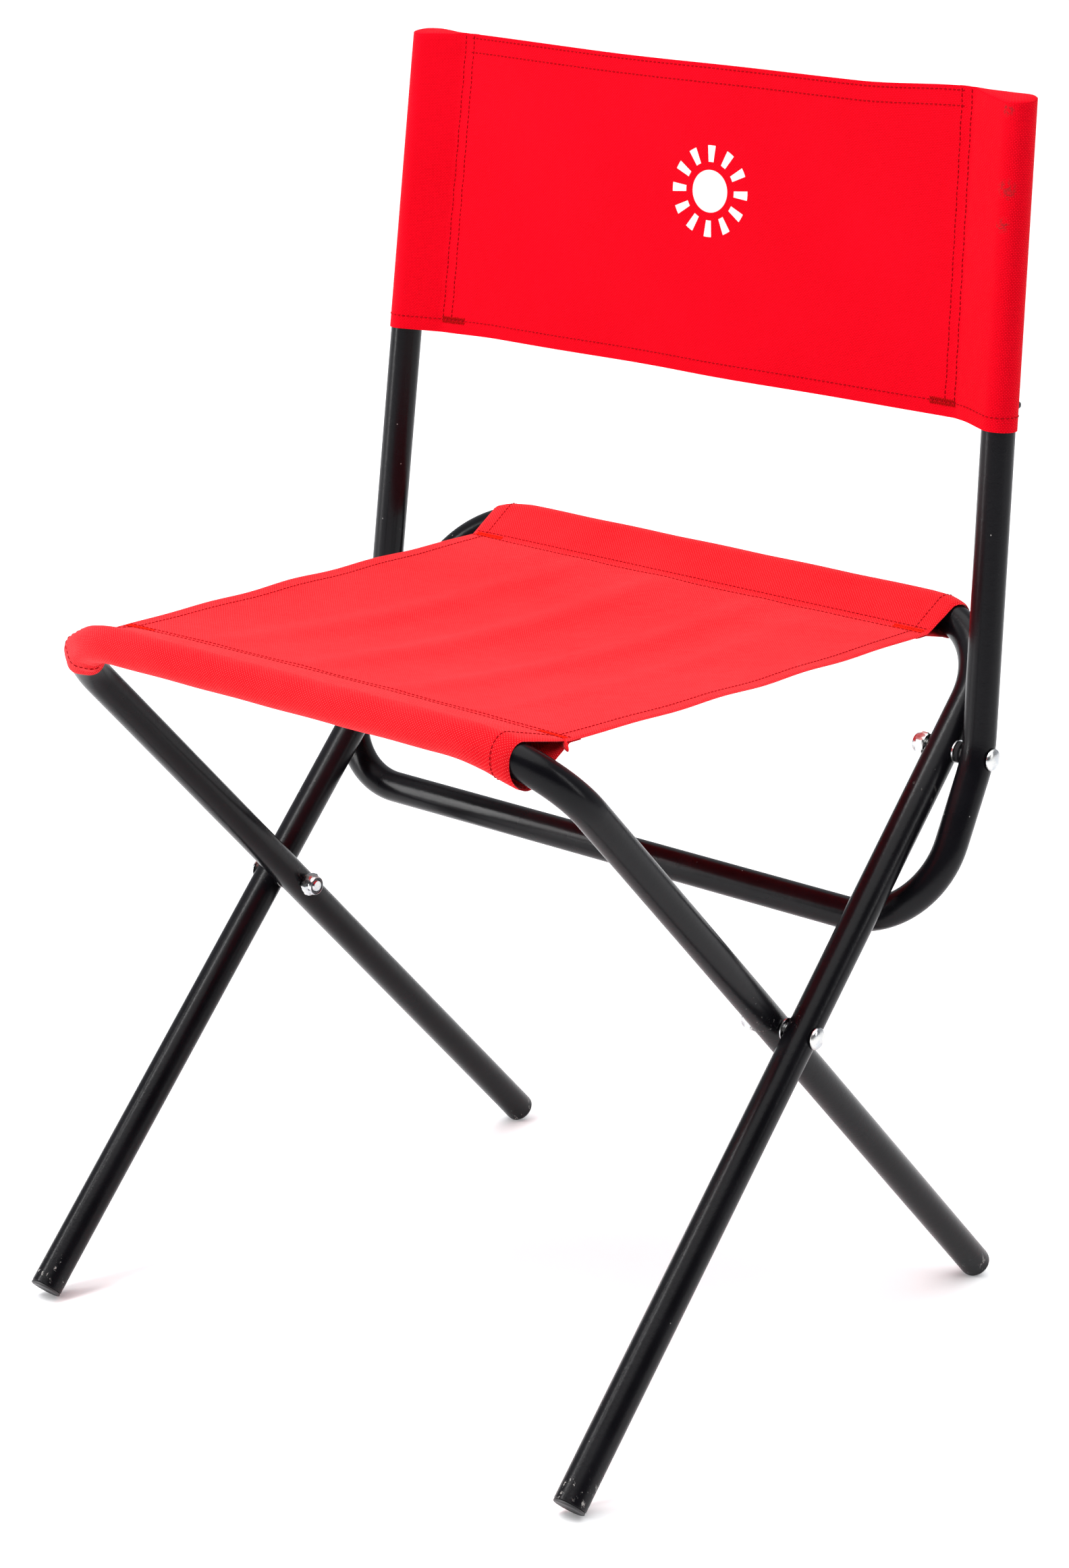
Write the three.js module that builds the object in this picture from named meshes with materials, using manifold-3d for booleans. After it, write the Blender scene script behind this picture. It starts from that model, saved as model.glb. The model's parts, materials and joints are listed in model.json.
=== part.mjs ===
// A folding director chair: two tube frames crossed like scissors, a tilting back frame
// with a slip-on cover, and a cloth seat stretched between the two seat bars.
// Millimetres. +X is the sitter's left, the chair faces -Y, +Z is up.
// The origin lies on the floor under the middle of the chair.
import * as THREE from 'three';
import { mergeVertices } from 'three/addons/utils/BufferGeometryUtils.js';
import Module from 'manifold-3d';

const wasm = await Module();
wasm.setup();

// ---- Driving dimensions ----------------------------------------------------------------

// Tube stock
const TUBE_RADIUS = 10;
const TUBE_WALL = 1;
const OUTER_SIDES = 24;
const INNER_SIDES = 12;
const BEND_STEP = THREE.MathUtils.degToRad(12);

// The two hinges, both on axes along X
const SCISSOR = { y: -8.2, z: 233.3 };
const RECLINE = { y: 121.7, z: 379.2 };

// Front leg frame: the outer, wider pair of legs, under the rear seat bar
const FRONT_FRAME = { half: 211.3, barZ: 444.9, bend: 55 };

// Rear leg frame: the inner pair of legs, under the front seat bar
const REAR_FRAME = { half: 189.8, barZ: 438.8, barY: -222.7, bend: 56, flare: 0.0104 };

// Back frame: two uprights, a gentle bend at the hinge and a U below it
const BACK_FRAME = {
  half: 235.7,
  topZ: 756.5,
  lean: 0.0497,
  converge: 0.0379,
  hingeBend: 60,
  lowerSlope: 0.4774,
  barZ: 279.8,
  bend: 56,
};

// Bolts, nuts and washers (M8)
const BOLT = {
  radius: 3.9, headRadius: 6.75, domeHeight: 2.6, domeSteps: 4, headRim: 0.6, chamfer: 0.6,
};
const HOLE_RADIUS = 4.25;
const NUT = {
  acrossFlats: 13,
  hexHeight: 5.6,
  collarRadius: 6,
  collarFlare: 0.2,
  collarRoot: 1,
  height: 8,
  rim: { drop: 0.8, inset: 0.6 },
  boltProud: 0.4,
};
const LOCK_RING = { outer: 5, inner: 4.3, height: 1.4, seatRadius: 5.4, seatDepth: 2 };
const WASHER_RADIUS = 7.15;
const THIN_WASHER = 0.9;
const HINGE_WASHER = 1;
const SPACER = { radius: 6.4, ribDepth: 0.6, ribs: 3 };
const FASTENER_SIDES = 16;

// How far a cutting solid runs past what it cuts
const OVERSHOOT = 10;

// Plastic plugs in the tube ends
const PLUG = { headRadius: 9.8, headHeight: 1.6, stemRadius: 8.3, stemLength: 14, edge: 0.5 };

// Cloth. The seat's sleeves run a different way round each corner, as it has crept sideways
const CLOTH = 1.2;
const SLEEVE_SIDES = 16;
const SEAT = {
  frontFrom: -180, frontTo: 166, rearFrom: -181, rearTo: 178,
  frontHalf: 171, rearHalf: 178, clearance: 26, drop: 3,
};
const COVER = {
  bottomZ: 573, topZ: 761.6, seamInset: 30, panel: 2, panelInset: 1, pocketArcSteps: 14,
};

// Room left between pieces that touch
const GAP = 0.3;

// ---- Colours ---------------------------------------------------------------------------

const BLACK_COAT = { color: 0x17161a, roughness: 0.42, metalness: 0.1 };
const ZINC = { color: 0xc9ccce, roughness: 0.25, metalness: 1 };
const BLACK_PLASTIC = { color: 0x26262a, roughness: 0.6, metalness: 0 };
const NYLON = { color: 0x3a3d42, roughness: 0.5, metalness: 0 };
const RED_CANVAS = { color: 0xd8101c, roughness: 0.8, metalness: 0 };

// ---- Solids ----------------------------------------------------------------------------

const vec = (x, y, z) => new THREE.Vector3(x, y, z);
const SIDES = [-1, 1];
const sideName = (side) => (side < 0 ? 'right' : 'left');

function toSolid(geometry) {
  const bare = geometry.clone();
  bare.deleteAttribute('normal');
  bare.deleteAttribute('uv');
  const merged = mergeVertices(bare, 1e-5);
  return new wasm.Manifold(new wasm.Mesh({
    numProp: 3,
    vertProperties: new Float32Array(merged.attributes.position.array),
    triVerts: new Uint32Array(merged.index.array),
  }));
}

function toGeometry(solid) {
  const mesh = solid.getMesh();
  const geometry = new THREE.BufferGeometry();
  geometry.setAttribute('position', new THREE.BufferAttribute(mesh.vertProperties, 3));
  geometry.setIndex(new THREE.BufferAttribute(mesh.triVerts, 1));
  return geometry;
}

// A regular polygon whose corners lie on the given radius
function ring(radius, sides) {
  const corners = [];
  for (let i = 0; i < sides; i += 1) {
    const angle = (2 * Math.PI * i) / sides;
    corners.push(new THREE.Vector2(radius * Math.cos(angle), radius * Math.sin(angle)));
  }
  return corners;
}

// A section with a round bore
function boredShape(outline, boreRadius, boreSides) {
  const shape = new THREE.Shape(outline);
  shape.holes.push(new THREE.Path(ring(boreRadius, boreSides)));
  return shape;
}

// A solid of revolution about the X axis; profile points are [along +X, radius]
function turned(profile) {
  const points = profile.map(([along, radius]) => new THREE.Vector2(radius, along));
  const geometry = new THREE.LatheGeometry(points, FASTENER_SIDES);
  geometry.rotateZ(-Math.PI / 2);
  return geometry;
}

// A round rod about the X axis from one place along it to another
function rod(from, to, radius) {
  return turned([[from, 0], [from, radius], [to, radius], [to, 0]]);
}

// A straight bore along X through both sides of the chair
function crossBore({ y, z }) {
  const reach = BACK_FRAME.half + TUBE_RADIUS + OVERSHOOT;
  const bore = rod(-reach, reach, HOLE_RADIUS);
  bore.translate(0, y, z);
  return toSolid(bore);
}

// ---- Bent tubes ------------------------------------------------------------------------

// A centreline held as stations, each with its own place and direction
class StationLine extends THREE.Curve {
  constructor(stations) {
    super();
    this.stations = stations;
  }

  station(t) {
    return this.stations[Math.round(t * (this.stations.length - 1))];
  }

  getUtoTmapping(u) {
    return u;
  }

  getPoint(t) {
    return this.station(t).place.clone();
  }

  getTangent(t) {
    return this.station(t).heading.clone();
  }
}

// Straight runs between the corners, rounded at each inner corner to its bend radius
function bentLine(corners) {
  const stations = [];
  const firstHeading = corners[1].place.clone().sub(corners[0].place).normalize();
  stations.push({ place: corners[0].place, heading: firstHeading });
  for (let i = 1; i < corners.length - 1; i += 1) {
    const corner = corners[i].place;
    const bend = corners[i].bend;
    const before = corner.clone().sub(corners[i - 1].place).normalize();
    const after = corners[i + 1].place.clone().sub(corner).normalize();
    const turn = before.angleTo(after);
    const inward = after.clone().addScaledVector(before, -after.dot(before)).normalize();
    const start = corner.clone().addScaledVector(before, -bend * Math.tan(turn / 2));
    const centre = start.clone().addScaledVector(inward, bend);
    const steps = Math.ceil(turn / BEND_STEP);
    for (let k = 0; k <= steps; k += 1) {
      const angle = (turn * k) / steps;
      const place = centre.clone()
        .addScaledVector(inward, -bend * Math.cos(angle))
        .addScaledVector(before, bend * Math.sin(angle));
      const heading = before.clone().multiplyScalar(Math.cos(angle))
        .addScaledVector(inward, Math.sin(angle));
      stations.push({ place, heading });
    }
  }
  const last = corners[corners.length - 1].place;
  const lastHeading = last.clone().sub(corners[corners.length - 2].place).normalize();
  stations.push({ place: last, heading: lastHeading });
  return stations;
}

function sweep(shape, stations) {
  return new THREE.ExtrudeGeometry(shape, {
    steps: stations.length - 1,
    extrudePath: new StationLine(stations),
    bevelEnabled: false,
  });
}

function tubeAlong(stations) {
  const bore = TUBE_RADIUS - TUBE_WALL;
  return sweep(boredShape(ring(TUBE_RADIUS, OUTER_SIDES), bore, INNER_SIDES), stations);
}

// The point where a frame's centreline crosses the given x, on the way from b to a
function crossing(a, b, x) {
  const share = (x - b.place.x) / (a.place.x - b.place.x);
  return {
    place: b.place.clone().lerp(a.place, share),
    heading: b.heading.clone().lerp(a.heading, share).normalize(),
  };
}

// The stretch of a frame's centreline round its bar, from one x to another
function barStretch(stations, fromX, toX) {
  const high = stations.findIndex(({ place }) => place.x < toX);
  const low = stations.findIndex(({ place }) => place.x < fromX);
  return [
    crossing(stations[high - 1], stations[high], toX),
    ...stations.slice(high, low),
    crossing(stations[low - 1], stations[low], fromX),
  ];
}

// A frame from one end round to the other: the corners of its +X half, then their mirror
function symmetricLine(halfCorners) {
  const mirror = halfCorners
    .map(({ place, bend }) => ({ place: place.clone().multiply(vec(-1, 1, 1)), bend }))
    .reverse();
  return bentLine([...halfCorners, ...mirror]);
}

// ---- Frame layout ----------------------------------------------------------------------

// Slope of the front legs, from the line through both hinges
const FRONT_SLOPE = (RECLINE.y - SCISSOR.y) / (RECLINE.z - SCISSOR.z);
const REAR_SLOPE = (REAR_FRAME.barY - SCISSOR.y) / (REAR_FRAME.barZ - SCISSOR.z);

const onFrontLeg = (z) => SCISSOR.y + FRONT_SLOPE * (z - SCISSOR.z);
const onRearLeg = (z) => SCISSOR.y + REAR_SLOPE * (z - SCISSOR.z);
const rearHalf = (z) => REAR_FRAME.half - REAR_FRAME.flare * (z - SCISSOR.z);

// A leg's end: the plug's lower edge stands on the floor, and the tube ends above its head
function legFoot(slope) {
  const lean = Math.atan(Math.abs(slope));
  const faceZ = Math.max(
    (PLUG.headRadius - PLUG.edge) * Math.sin(lean),
    PLUG.headRadius * Math.sin(lean) - PLUG.edge * Math.cos(lean),
  );
  return { faceZ, tubeZ: faceZ + (PLUG.headHeight + GAP) * Math.cos(lean) };
}

const frontFoot = legFoot(FRONT_SLOPE);
const rearFoot = legFoot(REAR_SLOPE);

const frontLegPoint = (z) => vec(FRONT_FRAME.half, onFrontLeg(z), z);
const rearLegPoint = (z) => vec(rearHalf(z), onRearLeg(z), z);

const frontLine = symmetricLine([
  { place: frontLegPoint(frontFoot.tubeZ) },
  { place: frontLegPoint(FRONT_FRAME.barZ), bend: FRONT_FRAME.bend },
]);

const rearLine = symmetricLine([
  { place: rearLegPoint(rearFoot.tubeZ) },
  { place: rearLegPoint(REAR_FRAME.barZ), bend: REAR_FRAME.bend },
]);

// The back frame's bend passes through the hinge bolt, so its corner lies a little behind
const upward = vec(-BACK_FRAME.converge, BACK_FRAME.lean, 1).normalize();
const downward = vec(0, -BACK_FRAME.lowerSlope, -1).normalize();
const hingeTurn = Math.PI - upward.angleTo(downward);
const hingeCorner = vec(BACK_FRAME.half, RECLINE.y, RECLINE.z).addScaledVector(
  upward.clone().add(downward).normalize(),
  -BACK_FRAME.hingeBend * (1 / Math.cos(hingeTurn / 2) - 1),
);

const alongFrom = (corner, heading, z) => corner.clone()
  .addScaledVector(heading, (z - corner.z) / heading.z);
const uprightPoint = (z) => alongFrom(hingeCorner, upward, z);
const lowerPoint = (z) => alongFrom(hingeCorner, downward, z);

const backLine = symmetricLine([
  { place: uprightPoint(BACK_FRAME.topZ) },
  { place: hingeCorner, bend: BACK_FRAME.hingeBend },
  { place: lowerPoint(BACK_FRAME.barZ), bend: BACK_FRAME.bend },
]);

// ---- Sub-parts -------------------------------------------------------------------------

const chair = new THREE.Group();

function addPart(name, geometry, finish) {
  const mesh = new THREE.Mesh(geometry, new THREE.MeshStandardMaterial(finish));
  mesh.name = name;
  chair.add(mesh);
  return mesh;
}

function addFrames() {
  const scissorBore = crossBore(SCISSOR);
  const reclineBore = crossBore(RECLINE);
  const front = toSolid(tubeAlong(frontLine)).subtract(scissorBore).subtract(reclineBore);
  const rear = toSolid(tubeAlong(rearLine)).subtract(scissorBore);
  const back = toSolid(tubeAlong(backLine)).subtract(reclineBore);
  addPart('front_leg_frame', toGeometry(front), BLACK_COAT);
  addPart('rear_leg_frame', toGeometry(rear), BLACK_COAT);
  addPart('back_frame', toGeometry(back), BLACK_COAT);
}

// A plug with its outer face at the origin and its stem along +Z
function plugGeometry() {
  const { headRadius, headHeight, stemRadius, stemLength, edge } = PLUG;
  const profile = [
    [0, 0],
    [headRadius - edge, 0],
    [headRadius, edge],
    [headRadius, headHeight],
    [stemRadius, headHeight],
    [stemRadius, headHeight + stemLength],
    [0, headHeight + stemLength],
  ].map(([radius, height]) => new THREE.Vector2(radius, height));
  return new THREE.LatheGeometry(profile, FASTENER_SIDES);
}

// Sets a plug into a tube end: face is the plug's outer face, into is a point up the tube
function addPlug(name, face, into) {
  const plug = addPart(name, plugGeometry(), BLACK_PLASTIC);
  const heading = into.clone().sub(face).normalize();
  plug.position.copy(face);
  plug.quaternion.setFromUnitVectors(vec(0, 1, 0), heading);
}

function addPlugs() {
  for (const side of SIDES) {
    const flip = vec(side, 1, 1);
    const name = sideName(side);
    const frontFace = frontLegPoint(frontFoot.faceZ).multiply(flip);
    const rearFace = rearLegPoint(rearFoot.faceZ).multiply(flip);
    const topFace = uprightPoint(BACK_FRAME.topZ + PLUG.headHeight + GAP).multiply(flip);
    addPlug(`front_foot_${name}`, frontFace, frontLegPoint(SCISSOR.z).multiply(flip));
    addPlug(`rear_foot_${name}`, rearFace, rearLegPoint(SCISSOR.z).multiply(flip));
    addPlug(`upright_plug_${name}`, topFace, uprightPoint(COVER.bottomZ).multiply(flip));
  }
}

// A bolt with its head's underside at x = 0, the head towards +X and the shank towards -X
function boltProfile(shankLength) {
  const { radius, headRadius, domeHeight, domeSteps, headRim, chamfer } = BOLT;
  const profile = [
    [-shankLength, 0],
    [-shankLength, radius - chamfer],
    [-shankLength + chamfer, radius],
    [0, radius],
    [0, headRadius],
    [headRim, headRadius],
  ];
  for (let i = 1; i <= domeSteps; i += 1) {
    const angle = (Math.PI / 2) * (i / domeSteps);
    profile.push([headRim + domeHeight * Math.sin(angle), headRadius * Math.cos(angle)]);
  }
  profile[profile.length - 1][1] = 0;
  return profile;
}

// A nut with its seat at x = 0, growing towards +X, with a counterbore for the lock ring
function nutGeometry() {
  const corner = NUT.acrossFlats / 2 / Math.cos(Math.PI / 6);
  const hex = new THREE.CylinderGeometry(corner, corner, NUT.hexHeight, 6);
  hex.rotateZ(-Math.PI / 2);
  hex.translate(NUT.hexHeight / 2, 0, 0);
  const collarRoot = NUT.hexHeight - NUT.collarRoot;
  const collar = turned([
    [collarRoot, 0],
    [collarRoot, NUT.collarRadius + NUT.collarFlare],
    [NUT.height - NUT.rim.drop, NUT.collarRadius],
    [NUT.height, NUT.collarRadius - NUT.rim.inset],
    [NUT.height, 0],
  ]);
  const end = NUT.height + OVERSHOOT;
  const bore = rod(-OVERSHOOT, end, HOLE_RADIUS);
  const counterbore = rod(NUT.height - LOCK_RING.seatDepth, end, LOCK_RING.seatRadius);
  const solid = toSolid(hex).add(toSolid(collar))
    .subtract(toSolid(bore)).subtract(toSolid(counterbore));
  return toGeometry(solid);
}

// A flat ring about X with its inner face at x = 0
function flatRing(outer, inner, thickness) {
  const shape = boredShape(ring(outer, FASTENER_SIDES), inner, FASTENER_SIDES);
  const geometry = new THREE.ExtrudeGeometry(shape, { depth: thickness, bevelEnabled: false });
  geometry.rotateY(Math.PI / 2);
  return geometry;
}

// The spacer between the frames at the recline hinge, ribbed round its rim
function spacerGeometry(thickness) {
  const profile = [[0, HOLE_RADIUS]];
  const bands = 2 * SPACER.ribs - 1;
  const ribPitch = thickness / bands;
  for (let i = 0; i < bands; i += 1) {
    const radius = i % 2 === 0 ? SPACER.radius : SPACER.radius - SPACER.ribDepth;
    profile.push([i * ribPitch, radius], [(i + 1) * ribPitch, radius]);
  }
  profile.push([thickness, HOLE_RADIUS], [0, HOLE_RADIUS]);
  return turned(profile);
}

// Places a piece made for the +X side at x on either side of the chair
function addAtHinge(name, geometry, finish, hinge, x, side) {
  const part = addPart(name, geometry, finish);
  part.position.set(side * x, hinge.y, hinge.z);
  if (side < 0) part.rotation.z = Math.PI;
  return part;
}

// One bolt through a hinge: headX is the outer tube's face, nutX the inner tube's inner face
function addBoltSet(label, hinge, headX, nutX, side) {
  const end = `${label}_${sideName(side)}`;
  const seatX = headX + GAP;
  const nutSeat = nutX - GAP;
  const shankEnd = nutSeat - NUT.height - NUT.boltProud;
  const bolt = turned(boltProfile(seatX - shankEnd));
  addAtHinge(`${end}_bolt`, bolt, ZINC, hinge, seatX, side);
  const nut = nutGeometry();
  nut.rotateZ(Math.PI);
  addAtHinge(`${end}_nut`, nut, ZINC, hinge, nutSeat, side);
  const lockRing = flatRing(LOCK_RING.outer, LOCK_RING.inner, LOCK_RING.height);
  const ringX = nutSeat - NUT.height + LOCK_RING.seatDepth - GAP - LOCK_RING.height;
  addAtHinge(`${end}_lock_ring`, lockRing, NYLON, hinge, ringX, side);
}

function addFasteners() {
  const frontOuter = FRONT_FRAME.half + TUBE_RADIUS;
  const frontInner = FRONT_FRAME.half - TUBE_RADIUS;
  const rearOuter = REAR_FRAME.half + TUBE_RADIUS;
  const rearInner = REAR_FRAME.half - TUBE_RADIUS;
  const backOuter = BACK_FRAME.half + TUBE_RADIUS;
  const backInner = BACK_FRAME.half - TUBE_RADIUS;
  for (const side of SIDES) {
    const name = sideName(side);
    addBoltSet('scissor', SCISSOR, frontOuter, rearInner, side);
    addBoltSet('recline', RECLINE, backOuter, frontInner, side);
    const thin = flatRing(WASHER_RADIUS, HOLE_RADIUS, THIN_WASHER);
    const thinX = (rearOuter + frontInner - THIN_WASHER) / 2;
    addAtHinge(`scissor_${name}_washer`, thin, ZINC, SCISSOR, thinX, side);
    const washer = flatRing(WASHER_RADIUS, HOLE_RADIUS, HINGE_WASHER);
    const washerX = frontOuter + GAP;
    addAtHinge(`recline_${name}_washer`, washer, ZINC, RECLINE, washerX, side);
    const spacerX = washerX + HINGE_WASHER + GAP;
    const spacer = spacerGeometry(backInner - GAP - spacerX);
    addAtHinge(`recline_${name}_spacer`, spacer, BLACK_PLASTIC, RECLINE, spacerX, side);
  }
}

// A cloth sleeve round a stretch of tube, open at both ends
function sleeveAlong(stations) {
  const inner = (TUBE_RADIUS + GAP) / Math.cos(Math.PI / SLEEVE_SIDES);
  const shape = boredShape(ring(inner + CLOTH, SLEEVE_SIDES), inner, SLEEVE_SIDES);
  return toSolid(sweep(shape, stations));
}

// A slab between two convex outlines, each counter-clockwise as seen from the upper one
function slab(lower, upper) {
  const count = lower.length;
  const index = [];
  for (let i = 0; i < count; i += 1) {
    const next = (i + 1) % count;
    index.push(i, next, count + next, i, count + next, count + i);
    if (i > 0 && next > 0) {
      index.push(0, next, i, count, count + i, count + next);
    }
  }
  const flat = [...lower, ...upper].flatMap((corner) => corner.toArray());
  const geometry = new THREE.BufferGeometry();
  geometry.setAttribute('position', new THREE.Float32BufferAttribute(flat, 3));
  geometry.setIndex(index);
  return toSolid(geometry);
}

// The seat: a sleeve round each seat bar, and the cloth between them just below the bars'
// axes. The cloth meets the bars along their straight stretch and stays clear of the bends.
function addSeat() {
  const frontSleeve = sleeveAlong(barStretch(rearLine, SEAT.frontFrom, SEAT.frontTo));
  const rearSleeve = sleeveAlong(barStretch(frontLine, SEAT.rearFrom, SEAT.rearTo));
  const reach = TUBE_RADIUS + 2 * GAP;
  const frontY = REAR_FRAME.barY;
  const rearY = onFrontLeg(FRONT_FRAME.barZ);
  const slope = (FRONT_FRAME.barZ - REAR_FRAME.barZ) / (rearY - frontY);
  const frontStraight = REAR_FRAME.half - REAR_FRAME.bend - reach;
  const rearStraight = FRONT_FRAME.half - FRONT_FRAME.bend;
  const halfOutline = [
    [frontStraight, frontY + reach],
    [SEAT.frontHalf, frontY + SEAT.clearance],
    [SEAT.rearHalf, rearY - SEAT.clearance],
    [rearStraight, rearY - reach],
  ];
  const outline = [
    ...halfOutline,
    ...halfOutline.map(([x, y]) => [-x, y]).reverse(),
  ];
  const layer = (lift) => outline.map(([x, y]) => vec(
    x,
    y,
    REAR_FRAME.barZ + slope * (y - frontY) - SEAT.drop + lift,
  ));
  const cloth = frontSleeve.add(rearSleeve).add(slab(layer(-CLOTH), layer(0)));
  addPart('seat_fabric', toGeometry(cloth), RED_CANVAS);
}

// One pocket of the cover: a sleeve that narrows inboard to its seam, closed over the top
function pocketSolid(side) {
  const bore = (TUBE_RADIUS + GAP) / Math.cos(Math.PI / SLEEVE_SIDES);
  const outer = bore + CLOTH;
  const tangent = Math.acos((outer - COVER.panel / 2) / COVER.seamInset);
  const outline = [];
  const sweepHalf = Math.PI - tangent;
  for (let i = 0; i <= COVER.pocketArcSteps; i += 1) {
    const angle = sweepHalf * (1 - (2 * i) / COVER.pocketArcSteps);
    outline.push(new THREE.Vector2(outer * Math.cos(angle), outer * Math.sin(angle)));
  }
  outline.push(new THREE.Vector2(-COVER.seamInset, -COVER.panel / 2));
  outline.push(new THREE.Vector2(-COVER.seamInset, COVER.panel / 2));
  const shape = new THREE.Shape(outline.reverse());
  const bottom = uprightPoint(COVER.bottomZ).multiply(vec(side, 1, 1));
  const top = uprightPoint(COVER.topZ).multiply(vec(side, 1, 1));
  const length = top.distanceTo(bottom);
  const wall = new THREE.ExtrudeGeometry(shape, { depth: length, bevelEnabled: false });
  const hollow = new THREE.CylinderGeometry(bore, bore, length, SLEEVE_SIDES);
  hollow.rotateX(Math.PI / 2);
  hollow.translate(0, 0, length / 2 - CLOTH);
  const pocket = toSolid(wall).subtract(toSolid(hollow));
  const placed = toGeometry(pocket);
  if (side < 0) placed.rotateZ(Math.PI);
  const heading = top.clone().sub(bottom).normalize();
  const turn = new THREE.Quaternion().setFromUnitVectors(vec(0, 0, 1), heading);
  placed.applyQuaternion(turn);
  placed.translate(bottom.x, bottom.y, bottom.z);
  return toSolid(placed);
}

// The cover: two pockets slipped over the uprights and the cloth panel between them
function addCover() {
  const halfThick = COVER.panel / 2;
  const cornersAt = (z) => {
    const { x, y } = uprightPoint(z);
    const half = x - COVER.seamInset + CLOTH;
    return [
      vec(-half, y - halfThick, z),
      vec(half, y - halfThick, z),
      vec(half, y + halfThick, z),
      vec(-half, y + halfThick, z),
    ];
  };
  const lower = cornersAt(COVER.bottomZ + COVER.panelInset);
  const panel = slab(lower, cornersAt(COVER.topZ - COVER.panelInset));
  const cover = panel.add(pocketSolid(-1)).add(pocketSolid(1));
  addPart('backrest_cover', toGeometry(cover), RED_CANVAS);
}

addFrames();
addPlugs();
addFasteners();
addSeat();
addCover();

export default chair;
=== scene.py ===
import json
import math

import bmesh
import bpy
import numpy as np
from mathutils import Matrix, Vector


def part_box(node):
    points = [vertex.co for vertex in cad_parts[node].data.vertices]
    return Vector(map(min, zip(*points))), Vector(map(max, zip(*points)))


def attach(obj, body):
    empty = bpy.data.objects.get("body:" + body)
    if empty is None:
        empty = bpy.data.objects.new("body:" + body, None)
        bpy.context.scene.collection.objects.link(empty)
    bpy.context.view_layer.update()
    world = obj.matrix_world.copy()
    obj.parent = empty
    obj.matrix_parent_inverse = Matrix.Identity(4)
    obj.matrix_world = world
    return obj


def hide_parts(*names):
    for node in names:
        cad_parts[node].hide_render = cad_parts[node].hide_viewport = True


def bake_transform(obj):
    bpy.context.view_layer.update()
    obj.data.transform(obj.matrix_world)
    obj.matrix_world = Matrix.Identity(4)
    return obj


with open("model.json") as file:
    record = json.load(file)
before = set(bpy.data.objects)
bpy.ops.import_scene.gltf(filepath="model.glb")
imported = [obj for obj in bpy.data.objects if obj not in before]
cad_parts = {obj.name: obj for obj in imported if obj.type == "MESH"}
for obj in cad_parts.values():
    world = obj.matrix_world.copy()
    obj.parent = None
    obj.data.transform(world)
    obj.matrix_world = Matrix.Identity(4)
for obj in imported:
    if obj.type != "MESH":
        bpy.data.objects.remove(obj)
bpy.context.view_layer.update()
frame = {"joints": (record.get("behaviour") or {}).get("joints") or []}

MM = 0.001

# ---- Sizes, in millimetres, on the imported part's own layout ------------------------------

TUBE_RADIUS = 10.0
TUBE_WALL = 1.0
TUBE_SIDES = 48
BEND_STEP = math.radians(4)
RUN_STEP = 18.0
END_ROUND = 0.35

JOINTS = {joint["name"]: joint for joint in frame["joints"]}
SCISSOR = np.array(JOINTS["seat_fold"]["pos_m"]) / MM
RECLINE = np.array(JOINTS["recline"]["pos_m"]) / MM


def low(node):
    return np.array(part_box(node)[0]) / MM


def high(node):
    return np.array(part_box(node)[1]) / MM


FRONT_HALF = high("front_leg_frame")[0] - TUBE_RADIUS
FRONT_BAR_Z = high("front_leg_frame")[2] - TUBE_RADIUS
FRONT_BEND = 55.0
REAR_HALF = 189.8
REAR_FLARE = 0.0104
REAR_BAR_Y = low("rear_leg_frame")[1] + TUBE_RADIUS
REAR_BAR_Z = high("rear_leg_frame")[2] - TUBE_RADIUS
REAR_BEND = 56.0
BACK_HALF = 235.7
BACK_TOP_Z = 756.5
BACK_LEAN = 0.0497
BACK_CONVERGE = 0.0379
BACK_HINGE_BEND = 60.0
BACK_LOWER_SLOPE = 0.4774
BACK_BAR_Z = 279.8
BACK_BEND = 56.0

PLUG_RADIUS = 9.8
PLUG_HEIGHT = 1.6
PLUG_GAP = 0.3

HOLE_RADIUS = 4.25
GAP = 0.3

CLOTH = 0.62
CLOTH_FIT = 0.35
WEAVE_PITCH = 0.95

FRONT_BODY, REAR_BODY, BACK_BODY = "front_frame", "rear_frame", "back"


# ---- Small vector helpers ----------------------------------------------------------------

def unit(v):
    v = np.asarray(v, float)
    return v / np.linalg.norm(v, axis=-1, keepdims=True)


def smooth(x, start=0.0, end=1.0):
    t = np.clip((np.asarray(x, float) - start) / (end - start), 0, 1)
    return t * t * (3 - 2 * t)


def curve(x, knots):
    """A soft curve through (place, value) knots, flat beyond its ends."""
    places = [k[0] for k in knots]
    values = [k[1] for k in knots]
    x = np.asarray(x, float)
    out = np.full(x.shape, float(values[0]))
    for a, b, va, vb in zip(places, places[1:], values, values[1:]):
        out = out + (vb - va) * smooth(x, a, b)
    return out


# ---- Meshes ------------------------------------------------------------------------------

def new_object(name, points, faces, uvs=None):
    """A mesh object from points in millimetres; uvs are metres on the flat cloth, one a point."""
    mesh = bpy.data.meshes.new(name)
    mesh.from_pydata((np.asarray(points, float) * MM).tolist(), [], faces)
    if uvs is not None:
        layer = mesh.uv_layers.new(name="weave")
        loops = np.zeros(len(mesh.loops), np.int32)
        mesh.loops.foreach_get("vertex_index", loops)
        layer.data.foreach_set("uv", np.asarray(uvs, np.float32)[loops].ravel())
    mesh.update()
    obj = bpy.data.objects.new(name, mesh)
    bpy.context.scene.collection.objects.link(obj)
    return obj


def finish_mesh(obj, material, sharp):
    """Smooth shading but for edges sharper than an angle in degrees, and one material."""
    mesh = obj.data
    mesh.shade_smooth()
    mesh.set_sharp_from_angle(angle=math.radians(sharp))
    mesh.materials.clear()
    mesh.materials.append(material)
    return obj


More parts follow.
